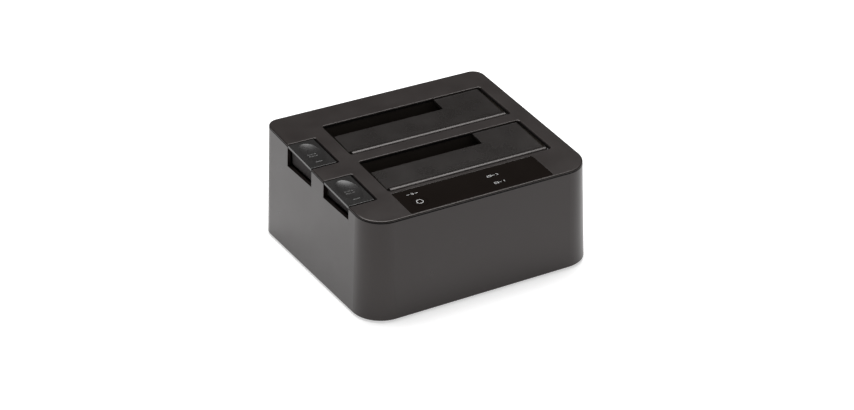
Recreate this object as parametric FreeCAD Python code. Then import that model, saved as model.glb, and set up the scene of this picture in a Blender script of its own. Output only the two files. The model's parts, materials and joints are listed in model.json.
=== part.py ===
import FreeCAD, Part
import math
import os

Vec = FreeCAD.Vector

# Form of the two-bay docking station, in millimetres; its width and depth add up from what it holds
front_height = 60.9
top_slope_deg = 4.2
side_draft_deg = 2.4
front_corner_radius = 15.0
back_corner_radius = 7.3
foot_standoff = 1.0
housing_wall = 2.2
base_bevel = 0.8

# Top cover, with its thin rim, its lip inside the housing and the seam line
cover_thickness = 1.8
cover_rim = 1.0
cover_rounding = 0.8
cover_lip_depth = 3.0
cover_lip_wall = 1.4
lip_clearance = 0.25
seam_height = 0.35
seam_depth = 0.7
button_web = 9.5
bay_bridge = 8.4
socket_overhang = 0.5

# Drives, openings and the bays under them
drive_width = 101.6
drive_thickness = 26.1
drive_side_play = 1.0
drive_back_play = 0.4
hinge_room = 8.5
opening_corner_radius = 1.6
opening_rounding = 0.6
bay_wall = 1.6
bay_side_step = 0.3
bay_back_step = 1.2
bay_floor_thickness = 1.5
bay_skirt_gap = 0.6
guide_rib_count = 5
guide_rib_height = 0.9
guide_rib_width = 1.6
guide_rib_drop = 14.2
guide_rib_lead = 3.0
guide_rib_inset = 2.2

# Flap, hinge and closing spring
flap_side_gap = 1.7
flap_thickness = 1.6
flap_fall_deg = 2.0
flap_stop_lip = 0.8
flap_stop_gap = 0.15
flap_overlap = 0.7
flap_pocket_room = 0.8
barrel_radius = 2.95
barrel_crest_depth = 0.25
barrel_front_gap = 0.35
barrel_end_rounding = 0.6
flap_rib_count = 5
flap_rib_height = 1.2
flap_rib_width = 1.4
flap_rib_setback = 1.5
slim_slot_width = 72.7
slim_slot_depth = 11.0
slim_slot_radius = 1.0
hinge_pin_radius = 1.0
press_clearance = 0.02
running_clearance = 0.05
spring_coil_turns = 4.0
spring_coil_radius = 1.4
spring_wire_radius = 0.3
spring_wire_pitch = 0.69
spring_start_gap = 0.9
spring_leg_length = 7.0
spring_room = 0.3
pin_overhang = 0.9
pin_end_gap = 0.39
pin_slot_width = 0.95
peg_radius = 0.9
peg_reach = 1.8
peg_drop = 5.5
peg_gap = 0.05

# Eject buttons, in notches of the left side
button_cutout_width = 17.2
notch_back_step = 9.6
notch_shortening = 5.8
notch_drop = 6.2
notch_corner_radius = 1.0
button_right_gap = 1.2
button_end_gap = 0.5
button_side_inset = 0.1
button_pad_thickness = 1.8
button_skirt_clearance = 0.4
button_skirt_wall = 1.6
button_skirt_gap_z = 0.7
button_rounding = 0.4
button_travel = 5.5
dish_half_width = 6.2
dish_half_length = 11.3
dish_depth = 1.2
dish_roundness = 6.0
stem_width = 4.0
stem_clearance = 0.3
push_stem_step = 15.0
guide_stem_inset = 10.4
guide_stem_engagement = 7.0
retainer_length = 5.0
retainer_inset = 5.4
retainer_reach = 1.0
retainer_thickness = 1.5
button_spring_radius = 3.9
button_spring_wire_radius = 0.35
button_spring_turns = 5.5
button_spring_closed_turns = 0.75
button_spring_length = 17.0
spring_seat_rise = 3.0
spring_collar_radius = 4.7

# Eject bracket, lever and its pin
shelf_thickness = 2.0
bracket_wall_gap = 0.5
bracket_bay_gap = 0.6
bracket_leg = 2.0
bracket_foot_length = 5.8
bracket_foot_inset = 4.0
bracket_boss_height = 2.0
bracket_boss_radius = 3.0
bracket_notch_overlap = 0.4
lever_back_step = 5.5
lever_width = 12.0
lever_side_gap = 0.5
lever_pivot_rise = 1.0
lever_pivot_inset = 0.5
lever_pin_radius = 1.25
lever_pin_end = 0.4
lever_boss_radius = 3.2
lever_arm_thickness = 3.0
lever_arm_top = 2.0
lever_arm_overrun = 2.6
lever_arm_root = 2.5
lever_pad_length = 5.5
lever_pocket_width = 4.5
lever_rim = 2.5
lever_pocket_gap = 1.3
finger_root = 4.5
finger_reach = 14.5
finger_bevel = 0.8
finger_top_below_floor = 0.4
finger_thickness = 2.9
finger_window_gap = 0.7

# Main board and what stands on it
floor_thickness = 2.2
board_standoff = 2.8
board_thickness = 1.6
board_left_step = 0.8
board_right_step = 2.8
board_front_reach = 12.5
board_back_gap = 1.0
board_corner_radius = 1.0
board_screw_inset = 5.0
standoff_radius = 2.6
sata_length = 42.7
sata_width = 6.4
sata_height = 10.0
sata_rise_in_bay = 5.6
sata_slot_width = 1.6
sata_slot_depth = 6.0
sata_key_wall = 2.2
sata_key_width = 1.2
sata_key_depth = 1.1
sata_bevel = 0.6
sata_hole_play = 0.5
sata_centre_from_drive_edge = 30.1
sata_from_drive_face = 3.5
signal_contacts = 7
power_contacts = 15
contact_pitch = 1.27
contact_width = 0.7
contact_thickness = 0.3
contact_margin = 1.15
contact_lift = 0.4
contact_tip_depth = 0.9
usb_from_board_right = 31.0
usb_width = 12.9
usb_height = 12.4
usb_depth = 17.0
usb_back_wall = 3.0
usb_side_wall = 2.2
usb_roof = 0.8
usb_step_width = 1.05
usb_step_height = 3.0
usb_plug_depth = 4.0
usb_tongue_inset = 1.5
usb_tongue_side = 1.45
usb_tongue_gap = 2.3
usb_upper_tongue_gap = 1.0
jack_from_board_right = 13.0
jack_width = 9.0
jack_height = 11.0
jack_depth = 14.0
jack_corner_radius = 1.5
jack_bore_radius = 3.2
jack_bore_depth = 10.0
jack_bore_lift = 0.5
jack_pin_radius = 1.0
jack_pin_recess = 1.2
jack_pin_rounding = 0.5
socket_recess = 0.3
port_clearance = 0.3
chip_front_step = 5.5
bridge_chip_size = 9.0
bridge_chip_height = 1.1
bridge_chip_step = 18.0
flash_chip_width = 5.2
flash_chip_depth = 4.0
flash_chip_height = 1.4
flash_chip_step = 32.4
power_row_step = 7.4
inductor_size = 7.0
inductor_height = 3.4
inductor_rounding = 1.2
inductor_step = 40.0
capacitor_count = 3
capacitor_radius = 3.1
capacitor_base_size = 6.6
capacitor_base_height = 0.8
capacitor_height = 8.2
capacitor_step = 12.0
capacitor_pitch = 8.5

# Control panel: lens, power button, lights and their board
lens_left_step = 0.2
lens_right_step = 14.4
lens_front_step = 1.2
lens_depth = 22.1
lens_back_step = 2.6
lens_recess = 0.65
lens_sink = 0.15
lens_gap = 0.05
lens_seat_rounding = 0.15
lens_corner_radius = 0.8
power_from_left = 10.2
power_from_front = 9.0
power_cap_radius = 4.3
power_cap_gap = 0.2
power_flange_step = 1.2
power_flange_thickness = 0.8
power_travel = 0.5
panel_board_depth = 9.0
panel_board_thickness = 1.2
panel_board_left_step = 4.0
panel_board_right_step = 11.4
panel_board_front_step = 2.7
panel_board_back_step = 3.9
panel_screw_left_step = 30.0
panel_screw_right_step = 18.4
panel_screw_back_step = 6.9
panel_screw_front_step = 8.7
panel_post_radius = 2.2
panel_post_hole_depth = 4.0
switch_size = 6.0
switch_height = 3.5
plunger_radius = 1.7
plunger_rise = 0.8
plunger_insert = 1.0
light_radius = 1.5
light_hole_play = 0.1
light_end_gap = 0.2
light_bar_depth = 4.0
light_bar_width = 1.6
power_light_from_left = 20.0
drive_light_from_right = 36.4
drive_light_from_back = 7.6
drive_light_from_front = 6.9
led_width = 2.0
led_depth = 1.4
led_height = 0.8
header_from_right = 27.4
header_rim = 1.0
header_depth = 4.0
header_height = 5.0
header_drop = 4.0
header_from_board_front = 5.0
header_from_panel_front = 7.5
ribbon_width = 8.0
ribbon_thickness = 0.4
ribbon_bend_share = 0.45

# Screws, posts, feet and vents
case_post_inset_x = 7.5
case_post_inset_y = 10.4
case_post_radius = 3.6
case_post_length = 23.8
case_post_rib_width = 1.6
case_screw_radius = 1.5
case_screw_length = 12.0
case_cup_radius = 4.6
case_cup_height = 3.0
case_cup_roof = 2.2
cover_lug_inset_x = 20.5
cover_lug_inset_y = 5.6
cover_lug_width = 9.0
cover_lug_depth = 8.0
cover_lug_thickness = 2.4
cover_boss_radius = 3.1
small_screw_radius = 1.1
small_screw_bite = 2.8
screw_hole_play = 0.3
screw_head_play = 0.45
screw_end_room = 0.5
floor_hole_depth = 0.6
floor_screw_bite = 0.4
tab_step_back = 6.0
tab_step_front = 22.0
tab_length = 6.4
tab_wall_gap = 0.4
tab_thickness = 2.0
tab_drop = 4.0
foot_inset_x = 18.5
foot_inset_y = 19.4
foot_radius = 6.0
foot_seat = 1.0
foot_clearance = 0.1
foot_bevel = 0.5
vent_count = 9
vent_pitch = 6.0
vent_width = 2.0
vent_length = 24.0

# Widths and depths that add up
overcut = 1.0
slope = math.radians(top_slope_deg)
spring_length = spring_coil_turns * spring_wire_pitch
opening_width = drive_width + 2 * drive_side_play
opening_length = drive_thickness + hinge_room
bay_pitch = opening_length + bay_bridge
front_margin = lens_front_step + lens_depth + lens_back_step
back_margin = bay_back_step + bay_wall + usb_depth - socket_overhang
left_margin = button_cutout_width + button_web
right_margin = (bay_side_step + bay_wall + spring_start_gap + spring_length + pin_overhang + pin_end_gap
                + cover_lip_wall + lip_clearance + housing_wall)
top_width = left_margin + opening_width + right_margin
top_depth = front_margin + opening_length + bay_pitch + back_margin
draft_datum_z = front_height + top_depth / 2 * math.tan(slope)
above_everything = front_height + 2 * top_depth * math.tan(slope) + cover_lip_depth
far = 2 * top_width
top_frame = FreeCAD.Placement(
    Vec(0, -top_depth / 2, front_height), FreeCAD.Rotation(Vec(1, 0, 0), top_slope_deg))

# Heights, from the feet up
base_z = foot_standoff
floor_z = base_z + floor_thickness
board_underside_z = floor_z + board_standoff
board_z = board_underside_z + board_thickness
bay_skirt_z = board_z + bay_skirt_gap
sata_top_z = board_z + sata_height
bay_floor_top_z = sata_top_z - sata_rise_in_bay
bracket_foot_z = floor_z + bracket_boss_height
lever_pivot_z = bay_floor_top_z + lever_pivot_rise
push_foot_z = lever_pivot_z + lever_arm_top + stem_clearance
guide_rib_top_z = front_height - guide_rib_drop
notch_sill_z = front_height - notch_drop
spring_seat_z = notch_sill_z + spring_seat_rise
shelf_top_z = spring_seat_z - button_spring_length
guide_stem_foot_z = shelf_top_z - guide_stem_engagement
case_post_foot_z = floor_z + case_cup_height
case_screw_seat_z = case_post_foot_z - case_cup_roof
case_post_top_z = case_post_foot_z + case_post_length

# Places across the width and depth
bay_left = left_margin - top_width / 2
bay_right = bay_left + opening_width
rear_bay_back = top_depth / 2 - back_margin
bay_backs = {"rear": rear_bay_back, "front": rear_bay_back - bay_pitch}
bays_front = rear_bay_back - bay_pitch - opening_length
bay_outer_left = bay_left - bay_side_step - bay_wall
bay_outer_right = bay_right + bay_side_step + bay_wall
flap_left = bay_left + flap_side_gap
flap_right = bay_right - flap_side_gap
flap_recess = flap_stop_lip + flap_stop_gap
pivot_depth = barrel_crest_depth + barrel_radius
slim_slot_right = bay_left + slim_slot_width
notch_length = opening_length - notch_shortening
notch_front_step = notch_back_step + notch_length
button_left = -top_width / 2 + button_side_inset
button_right = -top_width / 2 + button_cutout_width
button_pad_right = button_right - button_right_gap
button_skirt_left = -top_width / 2 + housing_wall + button_skirt_clearance
stem_x = (button_skirt_left + button_pad_right) / 2
guide_stem_step = notch_front_step - guide_stem_inset
retainer_step = notch_front_step - retainer_inset
bracket_left = button_skirt_left - bracket_wall_gap
bracket_right = bay_outer_left - bracket_bay_gap
bracket_front_step = notch_front_step - bracket_notch_overlap
lever_pivot_x = bracket_right - lever_boss_radius - lever_pivot_inset
tab_reach = right_margin - bay_side_step - bay_wall - housing_wall - tab_wall_gap
tab_boss_radius = tab_reach / 2 - tab_wall_gap
sata_x = bay_left + drive_side_play + sata_centre_from_drive_edge
signal_slot = (signal_contacts - 1) * contact_pitch + contact_width + 2 * contact_margin
power_slot = (power_contacts - 1) * contact_pitch + contact_width + 2 * contact_margin
board_left = bay_left + board_left_step
board_right = bay_right - board_right_step
board_front = bays_front - board_front_reach
board_back = top_depth / 2 - board_back_gap
usb_x = board_right - usb_from_board_right
jack_x = board_right - jack_from_board_right
lens_left = bay_left - lens_left_step
lens_right = bay_right - lens_right_step
lens_front = -top_depth / 2 + lens_front_step
lens_back = lens_front + lens_depth
power_x = lens_left + power_from_left
power_y = lens_front + power_from_front
drive_light_x = lens_right - drive_light_from_right
light_points = [(lens_left + power_light_from_left, power_y),
                (drive_light_x, lens_back - drive_light_from_back),
                (drive_light_x, lens_front + drive_light_from_front)]
panel_board_left = lens_left + panel_board_left_step
panel_board_right = lens_right - panel_board_right_step
panel_board_front = lens_front + panel_board_front_step
panel_board_back = lens_back - panel_board_back_step
panel_screw_points = [(lens_left + panel_screw_left_step, lens_back - panel_screw_back_step),
                      (lens_right - panel_screw_right_step, lens_front + panel_screw_front_step)]
header_x = lens_right - header_from_right
case_post_x = top_width / 2 - case_post_inset_x
case_post_y = top_depth / 2 - case_post_inset_y
cover_lug_x = top_width / 2 - cover_lug_inset_x
cover_lug_y = top_depth / 2 - cover_lug_inset_y
foot_x = top_width / 2 - foot_inset_x
foot_y = top_depth / 2 - foot_inset_y


def top_z(y, depth=0.0):
    """Height of the plane that lies a depth under the sloping top, at a given y."""
    return front_height + (y + top_depth / 2) * math.tan(slope) - depth / math.cos(slope)


def along(y):
    """Distance up the slope from the front edge to a given y."""
    return (y + top_depth / 2) / math.cos(slope)


def box(x0, x1, y0, y1, z0, z1):
    return Part.makeBox(x1 - x0, y1 - y0, z1 - z0, Vec(x0, y0, z0))


def post(x, y, z0, z1, radius):
    return Part.makeCylinder(radius, z1 - z0, Vec(x, y, z0))


def rod_x(x0, x1, y, z, radius):
    return Part.makeCylinder(radius, x1 - x0, Vec(x0, y, z), Vec(1, 0, 0))


def rod_y(y0, y1, x, z, radius):
    return Part.makeCylinder(radius, y1 - y0, Vec(x, y0, z), Vec(0, 1, 0))


def joined(first, *others):
    """One solid out of pieces that touch or overlap, with shared faces merged."""
    return first.fuse(list(others)).removeSplitter()


def upright_rounded(block, radius):
    edges = [e for e in block.Edges if abs(e.Vertexes[0].Z - e.Vertexes[-1].Z) > 0.01]
    return block.makeFillet(radius, edges)


def rounded_box(x0, x1, y0, y1, z0, z1, radius):
    return upright_rounded(box(x0, x1, y0, y1, z0, z1), radius)


def under_top(depth):
    """Everything that lies more than a depth under the sloping top."""
    block = box(-far, far, -far, far, -far - depth, -depth)
    block.Placement = top_frame
    return block


def top_block(x0, x1, y0, y1, high, low, radius=0.0):
    """A block square to the sloping top, between two depths under it."""
    block = box(x0, x1, along(y0), along(y1), -low, -high)
    if radius:
        block = upright_rounded(block, radius)
    block.Placement = top_frame
    return block


def top_rod(x, y, high, low, radius):
    """A round bar square to the sloping top, between two depths under it."""
    rod = Part.makeCylinder(radius, low - high, Vec(x, along(y), -low))
    rod.Placement = top_frame
    return rod


def depth_under_top(vertex):
    return -top_frame.inverse().multVec(vertex.Point).z


def top_edges(shape, wanted=lambda point: True):
    """The edges that lie in the sloping top plane and whose ends are wanted."""
    found = []
    for edge in shape.Edges:
        ends = edge.Vertexes
        if all(abs(depth_under_top(v)) < 0.001 and wanted(v.Point) for v in ends):
            found.append(edge)
    return found


def outline(z, inset):
    """The rounded outline of the case at one height, moved inwards by an inset."""
    grow = (draft_datum_z - z) * math.tan(math.radians(side_draft_deg)) - inset
    half_x = top_width / 2 + grow
    half_y = top_depth / 2 + grow
    front = front_corner_radius + grow
    back = back_corner_radius + grow
    centres = [(half_x - front, front - half_y, front), (half_x - back, half_y - back, back),
               (back - half_x, half_y - back, back), (front - half_x, front - half_y, front)]
    arcs = []
    for corner, (cx, cy, radius) in enumerate(centres):
        turns = [math.pi / 2 * (corner - 1 + share) for share in (0.0, 0.5, 1.0)]
        arcs.append([Vec(cx + radius * math.cos(t), cy + radius * math.sin(t), z) for t in turns])
    edges = []
    for corner, points in enumerate(arcs):
        edges.append(Part.Arc(*points).toShape())
        edges.append(Part.makeLine(points[2], arcs[(corner + 1) % 4][0]))
    return Part.Wire(edges)


def case_block(inset, z0, z1):
    return Part.makeLoft([outline(z0, inset), outline(z1, inset)], True, True)


def case_ring(outer_inset, inner_inset, z0, z1):
    return case_block(outer_inset, z0, z1).cut(case_block(inner_inset, z0 - 1, z1 + 1))


def tube_along(points, radius, sides):
    """A faceted wire that follows points, as one ring of corners at each point."""
    rings = []
    normal = None
    for index, point in enumerate(points):
        ahead = points[min(index + 1, len(points) - 1)]
        behind = points[max(index - 1, 0)]
        tangent = (ahead - behind).normalize()
        if normal is None:
            normal = tangent.cross(Vec(0.31, 0.17, 0.93)).normalize()
        normal = (normal - tangent * normal.dot(tangent)).normalize()
        other = tangent.cross(normal)
        ring = []
        for side in range(sides):
            turn = 2 * math.pi * side / sides
            ring.append(point + normal * (radius * math.cos(turn)) + other * (radius * math.sin(turn)))
        rings.append(ring)
    faces = [Part.Face(Part.makePolygon(rings[0] + rings[0][:1])),
             Part.Face(Part.makePolygon(rings[-1] + rings[-1][:1]))]
    for low, high in zip(rings, rings[1:]):
        for side in range(sides):
            near = (side + 1) % sides
            faces.append(Part.Face(Part.makePolygon([low[side], low[near], high[near], low[side]])))
            faces.append(Part.Face(Part.makePolygon([low[side], high[near], high[side], low[side]])))
    shell = Part.makeShell(faces)
    shell.sewShape()
    solid = Part.makeSolid(shell)
    if solid.Volume < 0:
        solid.reverse()
    return solid


def head_radius(radius):
    return 1.9 * radius


def pan_screw(x, y, seat_z, radius, length, upwards=True):
    """A pan-head screw: the head lies against the seat and the shank goes into the post."""
    head_height = 1.4 * radius
    sign = 1 if upwards else -1
    head = Part.makeCylinder(head_radius(radius), head_height, Vec(x, y, seat_z), Vec(0, 0, -sign))
    shank = Part.makeCylinder(radius, length, Vec(x, y, seat_z), Vec(0, 0, sign))
    recess = box(x - 0.9 * radius, x + 0.9 * radius, y - 0.2 * radius, y + 0.2 * radius,
                 seat_z - sign * head_height - 0.4 * radius, seat_z - sign * head_height + 0.4 * radius)
    cross = recess.copy()
    cross.rotate(Vec(x, y, 0), Vec(0, 0, 1), 90)
    return head.fuse(shank).cut(recess).cut(cross).removeSplitter()


def case_post_points():
    return [(sx * case_post_x, sy * case_post_y) for sx in (-1, 1) for sy in (-1, 1)]


def cover_lug_points():
    return [(sx * cover_lug_x, sy * cover_lug_y) for sx in (-1, 1) for sy in (-1, 1)]


def cover_lug_top_z(y):
    """Height of a lug's upper face, just under the cover's lip all along the lug."""
    lip_end = cover_thickness + cover_lip_depth
    return min(top_z(y - cover_lug_depth, lip_end), top_z(y + cover_lug_depth, lip_end))


def notch_ends(back):
    high = back - notch_back_step
    return high - notch_length, high


# Housing: the tapered four-sided wall with posts, lugs, notches and ports
def housing():
    shell = case_ring(0, housing_wall, base_z, above_everything)
    bottom = [e for e in shell.Edges if all(abs(v.Z - base_z) < 0.001 for v in e.Vertexes)]
    outer = [e for e in bottom if e.BoundBox.XMax > top_width / 2 or e.BoundBox.XMin < -top_width / 2
             or abs(e.BoundBox.YMax) > top_depth / 2 or abs(e.BoundBox.YMin) > top_depth / 2]
    shell = shell.makeChamfer(base_bevel, outer).common(under_top(cover_rim))
    seam = case_ring(-overcut, seam_depth, front_height - 2 * cover_lip_depth, above_everything)
    shell = shell.cut(seam.cut(under_top(cover_rim + seam_height)))
    wall_inside = case_block(housing_wall / 2, base_z, above_everything)
    for x, y in case_post_points():
        side = math.copysign(far, x)
        rib = box(min(x, side), max(x, side), y - case_post_rib_width / 2, y + case_post_rib_width / 2,
                  case_post_foot_z + overcut, case_post_top_z)
        pillar = post(x, y, case_post_foot_z, case_post_top_z, case_post_radius).fuse(rib)
        shell = shell.fuse(pillar.common(wall_inside))
        shell = shell.cut(post(x, y, floor_z, case_screw_seat_z + case_screw_length + screw_end_room,
                               case_screw_radius + press_clearance))
    for x, y in cover_lug_points():
        wall_y = math.copysign(far, y)
        inner_y = math.copysign(abs(y) - cover_lug_depth / 2, y)
        top = cover_lug_top_z(y)
        lug = box(x - cover_lug_width / 2, x + cover_lug_width / 2, min(wall_y, inner_y),
                  max(wall_y, inner_y), top - cover_lug_thickness, top)
        shell = shell.fuse(lug.common(wall_inside))
        shell = shell.cut(post(x, y, top - cover_lug_thickness - overcut, top + overcut,
                               small_screw_radius + screw_hole_play))
    for back in bay_backs.values():
        low, high = notch_ends(back)
        notch = box(-far, -top_width / 2 + 2 * housing_wall, low, high, notch_sill_z, above_everything)
        shell = shell.cut(notch)
    for hole in port_holes():
        shell = shell.cut(hole)
    return shell.removeSplitter()


def port_holes():
    """The cut-outs in the back wall for the data socket and the power jack."""
    inside = top_depth / 2 - 2 * housing_wall
    usb = box(usb_x - usb_width / 2 - port_clearance, usb_x + usb_width / 2 + port_clearance,
              inside, far, board_z - port_clearance, board_z + usb_height + port_clearance)
    jack = box(jack_x - jack_width / 2 - port_clearance, jack_x + jack_width / 2 + port_clearance,
               inside, far, board_z - port_clearance, board_z + jack_height + port_clearance)
    return [usb, jack]


# Top cover: sloping panel with two openings, two button cut-outs and the lens seat
def top_cover():
    low = front_height - 3 * (cover_thickness + cover_lip_depth)
    panel = case_block(0, low, above_everything).common(under_top(0)).cut(under_top(cover_rim))
    panel = panel.makeFillet(cover_rounding, top_edges(panel))
    core = case_block(housing_wall + lip_clearance, low, above_everything)
    core = core.common(under_top(cover_rim)).cut(under_top(cover_thickness))
    lip = case_ring(housing_wall + lip_clearance, housing_wall + lip_clearance + cover_lip_wall,
                    low, above_everything)
    lip = lip.common(under_top(cover_thickness)).cut(under_top(cover_thickness + cover_lip_depth))
    cover = panel.fuse([core, lip])
    for x, y in cover_lug_points():
        boss = post(x, y, cover_lug_top_z(y), above_everything, cover_boss_radius)
        cover = cover.fuse(boss.common(under_top(cover_rim)))
    for x, y, top in tab_points():
        boss = post(x, y, top, above_everything, tab_boss_radius)
        cover = cover.fuse(boss.common(under_top(cover_rim)))
    for x, y in panel_screw_points:
        cover = cover.fuse(top_rod(x, y, cover_rim, panel_board_depth, panel_post_radius))
    cover = cover.removeSplitter()
    for back in bay_backs.values():
        cover = cover.cut(rounded_box(bay_left, bay_right, back - opening_length, back,
                                      floor_z, above_everything, opening_corner_radius))
        low_y, high_y = notch_ends(back)
        cover = cover.cut(rounded_box(-far, button_right, low_y, high_y, floor_z, above_everything,
                                      notch_corner_radius))
    cover = cover.cut(top_block(lens_left, lens_right, lens_front, lens_back, -overcut, lens_recess,
                                lens_corner_radius))
    cover = cover.makeFillet(opening_rounding, top_edges(cover, on_opening_rim))
    cover = cover.makeFillet(lens_seat_rounding, top_edges(cover, on_lens_rim))
    for back in bay_backs.values():
        cover = cover.cut(top_block(slim_slot_right - flap_pocket_room, flap_right + flap_pocket_room,
                                    back - overcut, back + flap_overlap + flap_pocket_room,
                                    flap_stop_lip, cover_thickness + overcut))
        cover = cover.cut(spring_pocket(back))
    below = cover_thickness + overcut
    cover = cover.cut(top_rod(power_x, power_y, -overcut, below, power_cap_radius + power_cap_gap))
    for x, y in light_points:
        cover = cover.cut(top_rod(x, y, -overcut, below, light_radius + light_hole_play))
    screw_hole = small_screw_radius + press_clearance
    for x, y in cover_lug_points():
        cover = cover.cut(post(x, y, floor_z, cover_lug_top_z(y) + small_screw_bite + screw_end_room,
                               screw_hole))
    for x, y, top in tab_points():
        cover = cover.cut(post(x, y, floor_z, top + small_screw_bite + screw_end_room, screw_hole))
    for x, y in panel_screw_points:
        cover = cover.cut(top_rod(x, y, panel_board_depth - panel_post_hole_depth,
                                  panel_board_depth + overcut, screw_hole))
    return cover.removeSplitter()


def on_opening_rim(point):
    """Whether a point of the top lies on the rim of a drive opening or a button cut-out."""
    if point.y < bays_front - lens_back_step / 2:
        return False
    if bay_left - button_web / 2 < point.x < bay_right + button_web / 2:
        return True
    on_notch = any(low - 0.01 < point.y < high + 0.01 for low, high in map(notch_ends, bay_backs.values()))
    return on_notch and point.x < button_right + 0.01


def on_lens_rim(point):
    """Whether a point of the top lies on the rim of the lens seat."""
    across = lens_left - 0.01 < point.x < lens_right + 0.01
    return across and lens_front - 0.01 < point.y < lens_back + 0.01


def spring_pocket(back):
    """A hollow under the cover that leaves room for the coil of the flap spring."""
    start, end = flap_spring_span()
    pivot_y, _ = flap_pivot(back)
    half = spring_coil_radius + spring_wire_radius + spring_room
    return top_block(start - spring_wire_radius - spring_room, end + pin_overhang + spring_room,
                     pivot_y - half, pivot_y + half, pivot_depth - half, cover_thickness + overcut)


def tab_points():
    """The screw places that carry the two bays: x, y and the height of the tab's upper face."""
    points = []
    for back in bay_backs.values():
        for step in (tab_step_back, tab_step_front):
            y = back - step
            top = top_z(y - tab_length / 2) - cover_thickness - tab_drop
            points.append((bay_outer_left - tab_reach / 2, y, top))
            points.append((bay_outer_right + tab_reach / 2, y, top))
    return points


# Bottom cover: floor with screw cups, stand-offs, vents and foot seats
def bottom_cover():
    floor = case_block(housing_wall + lip_clearance, base_z, floor_z)
    for x, y in case_post_points():
        floor = floor.fuse(post(x, y, base_z, case_post_foot_z, case_cup_radius))
    for x, y in board_screw_points():
        floor = floor.fuse(post(x, y, base_z, board_underside_z, standoff_radius))
    for x, y in bracket_screw_points():
        floor = floor.fuse(post(x, y, base_z, bracket_foot_z, bracket_boss_radius))
    floor = floor.removeSplitter()
    for x, y in case_post_points():
        floor = floor.cut(post(x, y, 0, case_screw_seat_z, head_radius(case_screw_radius) + screw_head_play))
        floor = floor.cut(post(x, y, 0, far, case_screw_radius + screw_hole_play))
    for x, y in board_screw_points() + bracket_screw_points():
        floor = floor.cut(post(x, y, floor_z - floor_hole_depth, far, small_screw_radius + press_clearance))
    for x, y in foot_points():
        floor = floor.cut(post(x, y, 0, base_z + foot_seat, foot_radius + foot_clearance))
    for vent in vents():
        floor = floor.cut(vent)
    return floor


def vents():
    slots = []
    for index in range(vent_count):
        x = (index - (vent_count - 1) / 2) * vent_pitch
        slots.append(rounded_box(x - vent_width / 2, x + vent_width / 2, -vent_length / 2,
                                 vent_length / 2, 0, floor_z + overcut, 0.48 * vent_width))
    return slots


def foot_points():
    return [(sx * foot_x, sy * foot_y) for sx in (-1, 1) for sy in (-1, 1)]


def board_screw_points():
    return [(x, y) for x in (board_left + board_screw_inset, board_right - board_screw_inset)
            for y in (board_front + board_screw_inset, board_back - board_screw_inset)]


def bracket_screw_points():
    points = []
    middle = (bracket_left + bracket_right) / 2
    for back in bay_backs.values():
        points.append((middle, back - lever_back_step + lever_side_gap + bracket_leg
                       + bracket_foot_length / 2))
        points.append((middle, back - bracket_front_step + bracket_leg + bracket_foot_length / 2))
    return points


def rubber_feet():
    feet = []
    for x, y in foot_points():
        pad = post(x, y, 0, base_z + foot_seat, foot_radius)
        rim = [e for e in pad.Edges if e.BoundBox.ZMax < 0.01]
        feet.append(pad.makeChamfer(foot_bevel, rim))
    return Part.makeCompound(feet)


# Drive bay: the upright well under one opening
def drive_bay(back):
    front = back - opening_length
    x0 = bay_left - bay_side_step
    x1 = bay_right + bay_side_step
    y0 = front - bay_side_step
    y1 = back + bay_back_step
    well = box(bay_outer_left, bay_outer_right, y0 - bay_wall, y1 + bay_wall, bay_skirt_z, above_everything)
    well = well.cut(box(x0, x1, y0, y1, bay_floor_top_z, above_everything))
    well = well.cut(box(x0, x1, y0, y1, 0, bay_floor_top_z - bay_floor_thickness))
    well = well.common(under_top(cover_thickness))
    well = well.fuse(guide_ribs(back, x0, x1, y1) + bay_tabs(back) + [spring_peg(back)]).removeSplitter()
    sata_y = sata_line(back)
    half_x = sata_length / 2 + sata_hole_play
    half_y = sata_width / 2 + sata_hole_play
    well = well.cut(box(sata_x - half_x, sata_x + half_x, sata_y - half_y, sata_y + half_y,
                        0, bay_floor_top_z + overcut))
    lever_high = back - lever_back_step + finger_window_gap
    lever_low = back - lever_back_step - lever_width - finger_window_gap
    window_top = lever_pivot_z + finger_reach / 2
    well = well.cut(box(bay_outer_left - overcut, x0 + running_clearance, lever_low, lever_high, 0, window_top))
    well = well.cut(box(x0 - overcut, lever_pivot_x + finger_reach + finger_window_gap, lever_low, lever_high,
                        0, bay_floor_top_z + overcut))
    pivot_y, pivot_z = flap_pivot(back)
    return well.cut(rod_x(bay_outer_left - overcut, bay_outer_right + overcut, pivot_y, pivot_z,
                          hinge_pin_radius + running_clearance))


def guide_ribs(back, x0, x1, y1):
    """Upright ribs that centre the drive, with sloping tops that lead it in."""
    ribs = []
    half = guide_rib_width / 2
    lead_z = guide_rib_top_z - guide_rib_lead
    rib_face_y = back - running_clearance
    for index in range(guide_rib_count):
        x = bay_left + opening_width * (index + 0.5) / guide_rib_count
        profile = [(y1, bay_floor_top_z), (rib_face_y, bay_floor_top_z), (rib_face_y, lead_z),
                   (y1, guide_rib_top_z)]
        face = Part.Face(Part.makePolygon([Vec(x - half, y, z) for y, z in profile + profile[:1]]))
        ribs.append(face.extrude(Vec(guide_rib_width, 0, 0)))
    drive_back = back - drive_back_play
    for y in (drive_back - guide_rib_inset, drive_back - drive_thickness + guide_rib_inset):
        for wall_x, reach in ((x0, guide_rib_height), (x1, -guide_rib_height)):
            profile = [(wall_x, bay_floor_top_z), (wall_x + reach, bay_floor_top_z),
                       (wall_x + reach, lead_z), (wall_x, guide_rib_top_z)]
            face = Part.Face(Part.makePolygon([Vec(x, y - half, z) for x, z in profile + profile[:1]]))
            ribs.append(face.extrude(Vec(0, guide_rib_width, 0)))
    return ribs


def bay_tabs(back):
    tabs = []
    for x, y, top in tab_points():
        if back - opening_length < y < back:
            half = tab_reach / 2
            tab = box(x - half, x + half, y - tab_length / 2, y + tab_length / 2, top - tab_thickness, top)
            hole = post(x, y, top - tab_thickness - overcut, top + overcut,
                        small_screw_radius + screw_hole_play)
            tabs.append(tab.cut(hole))
    return tabs


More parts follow.
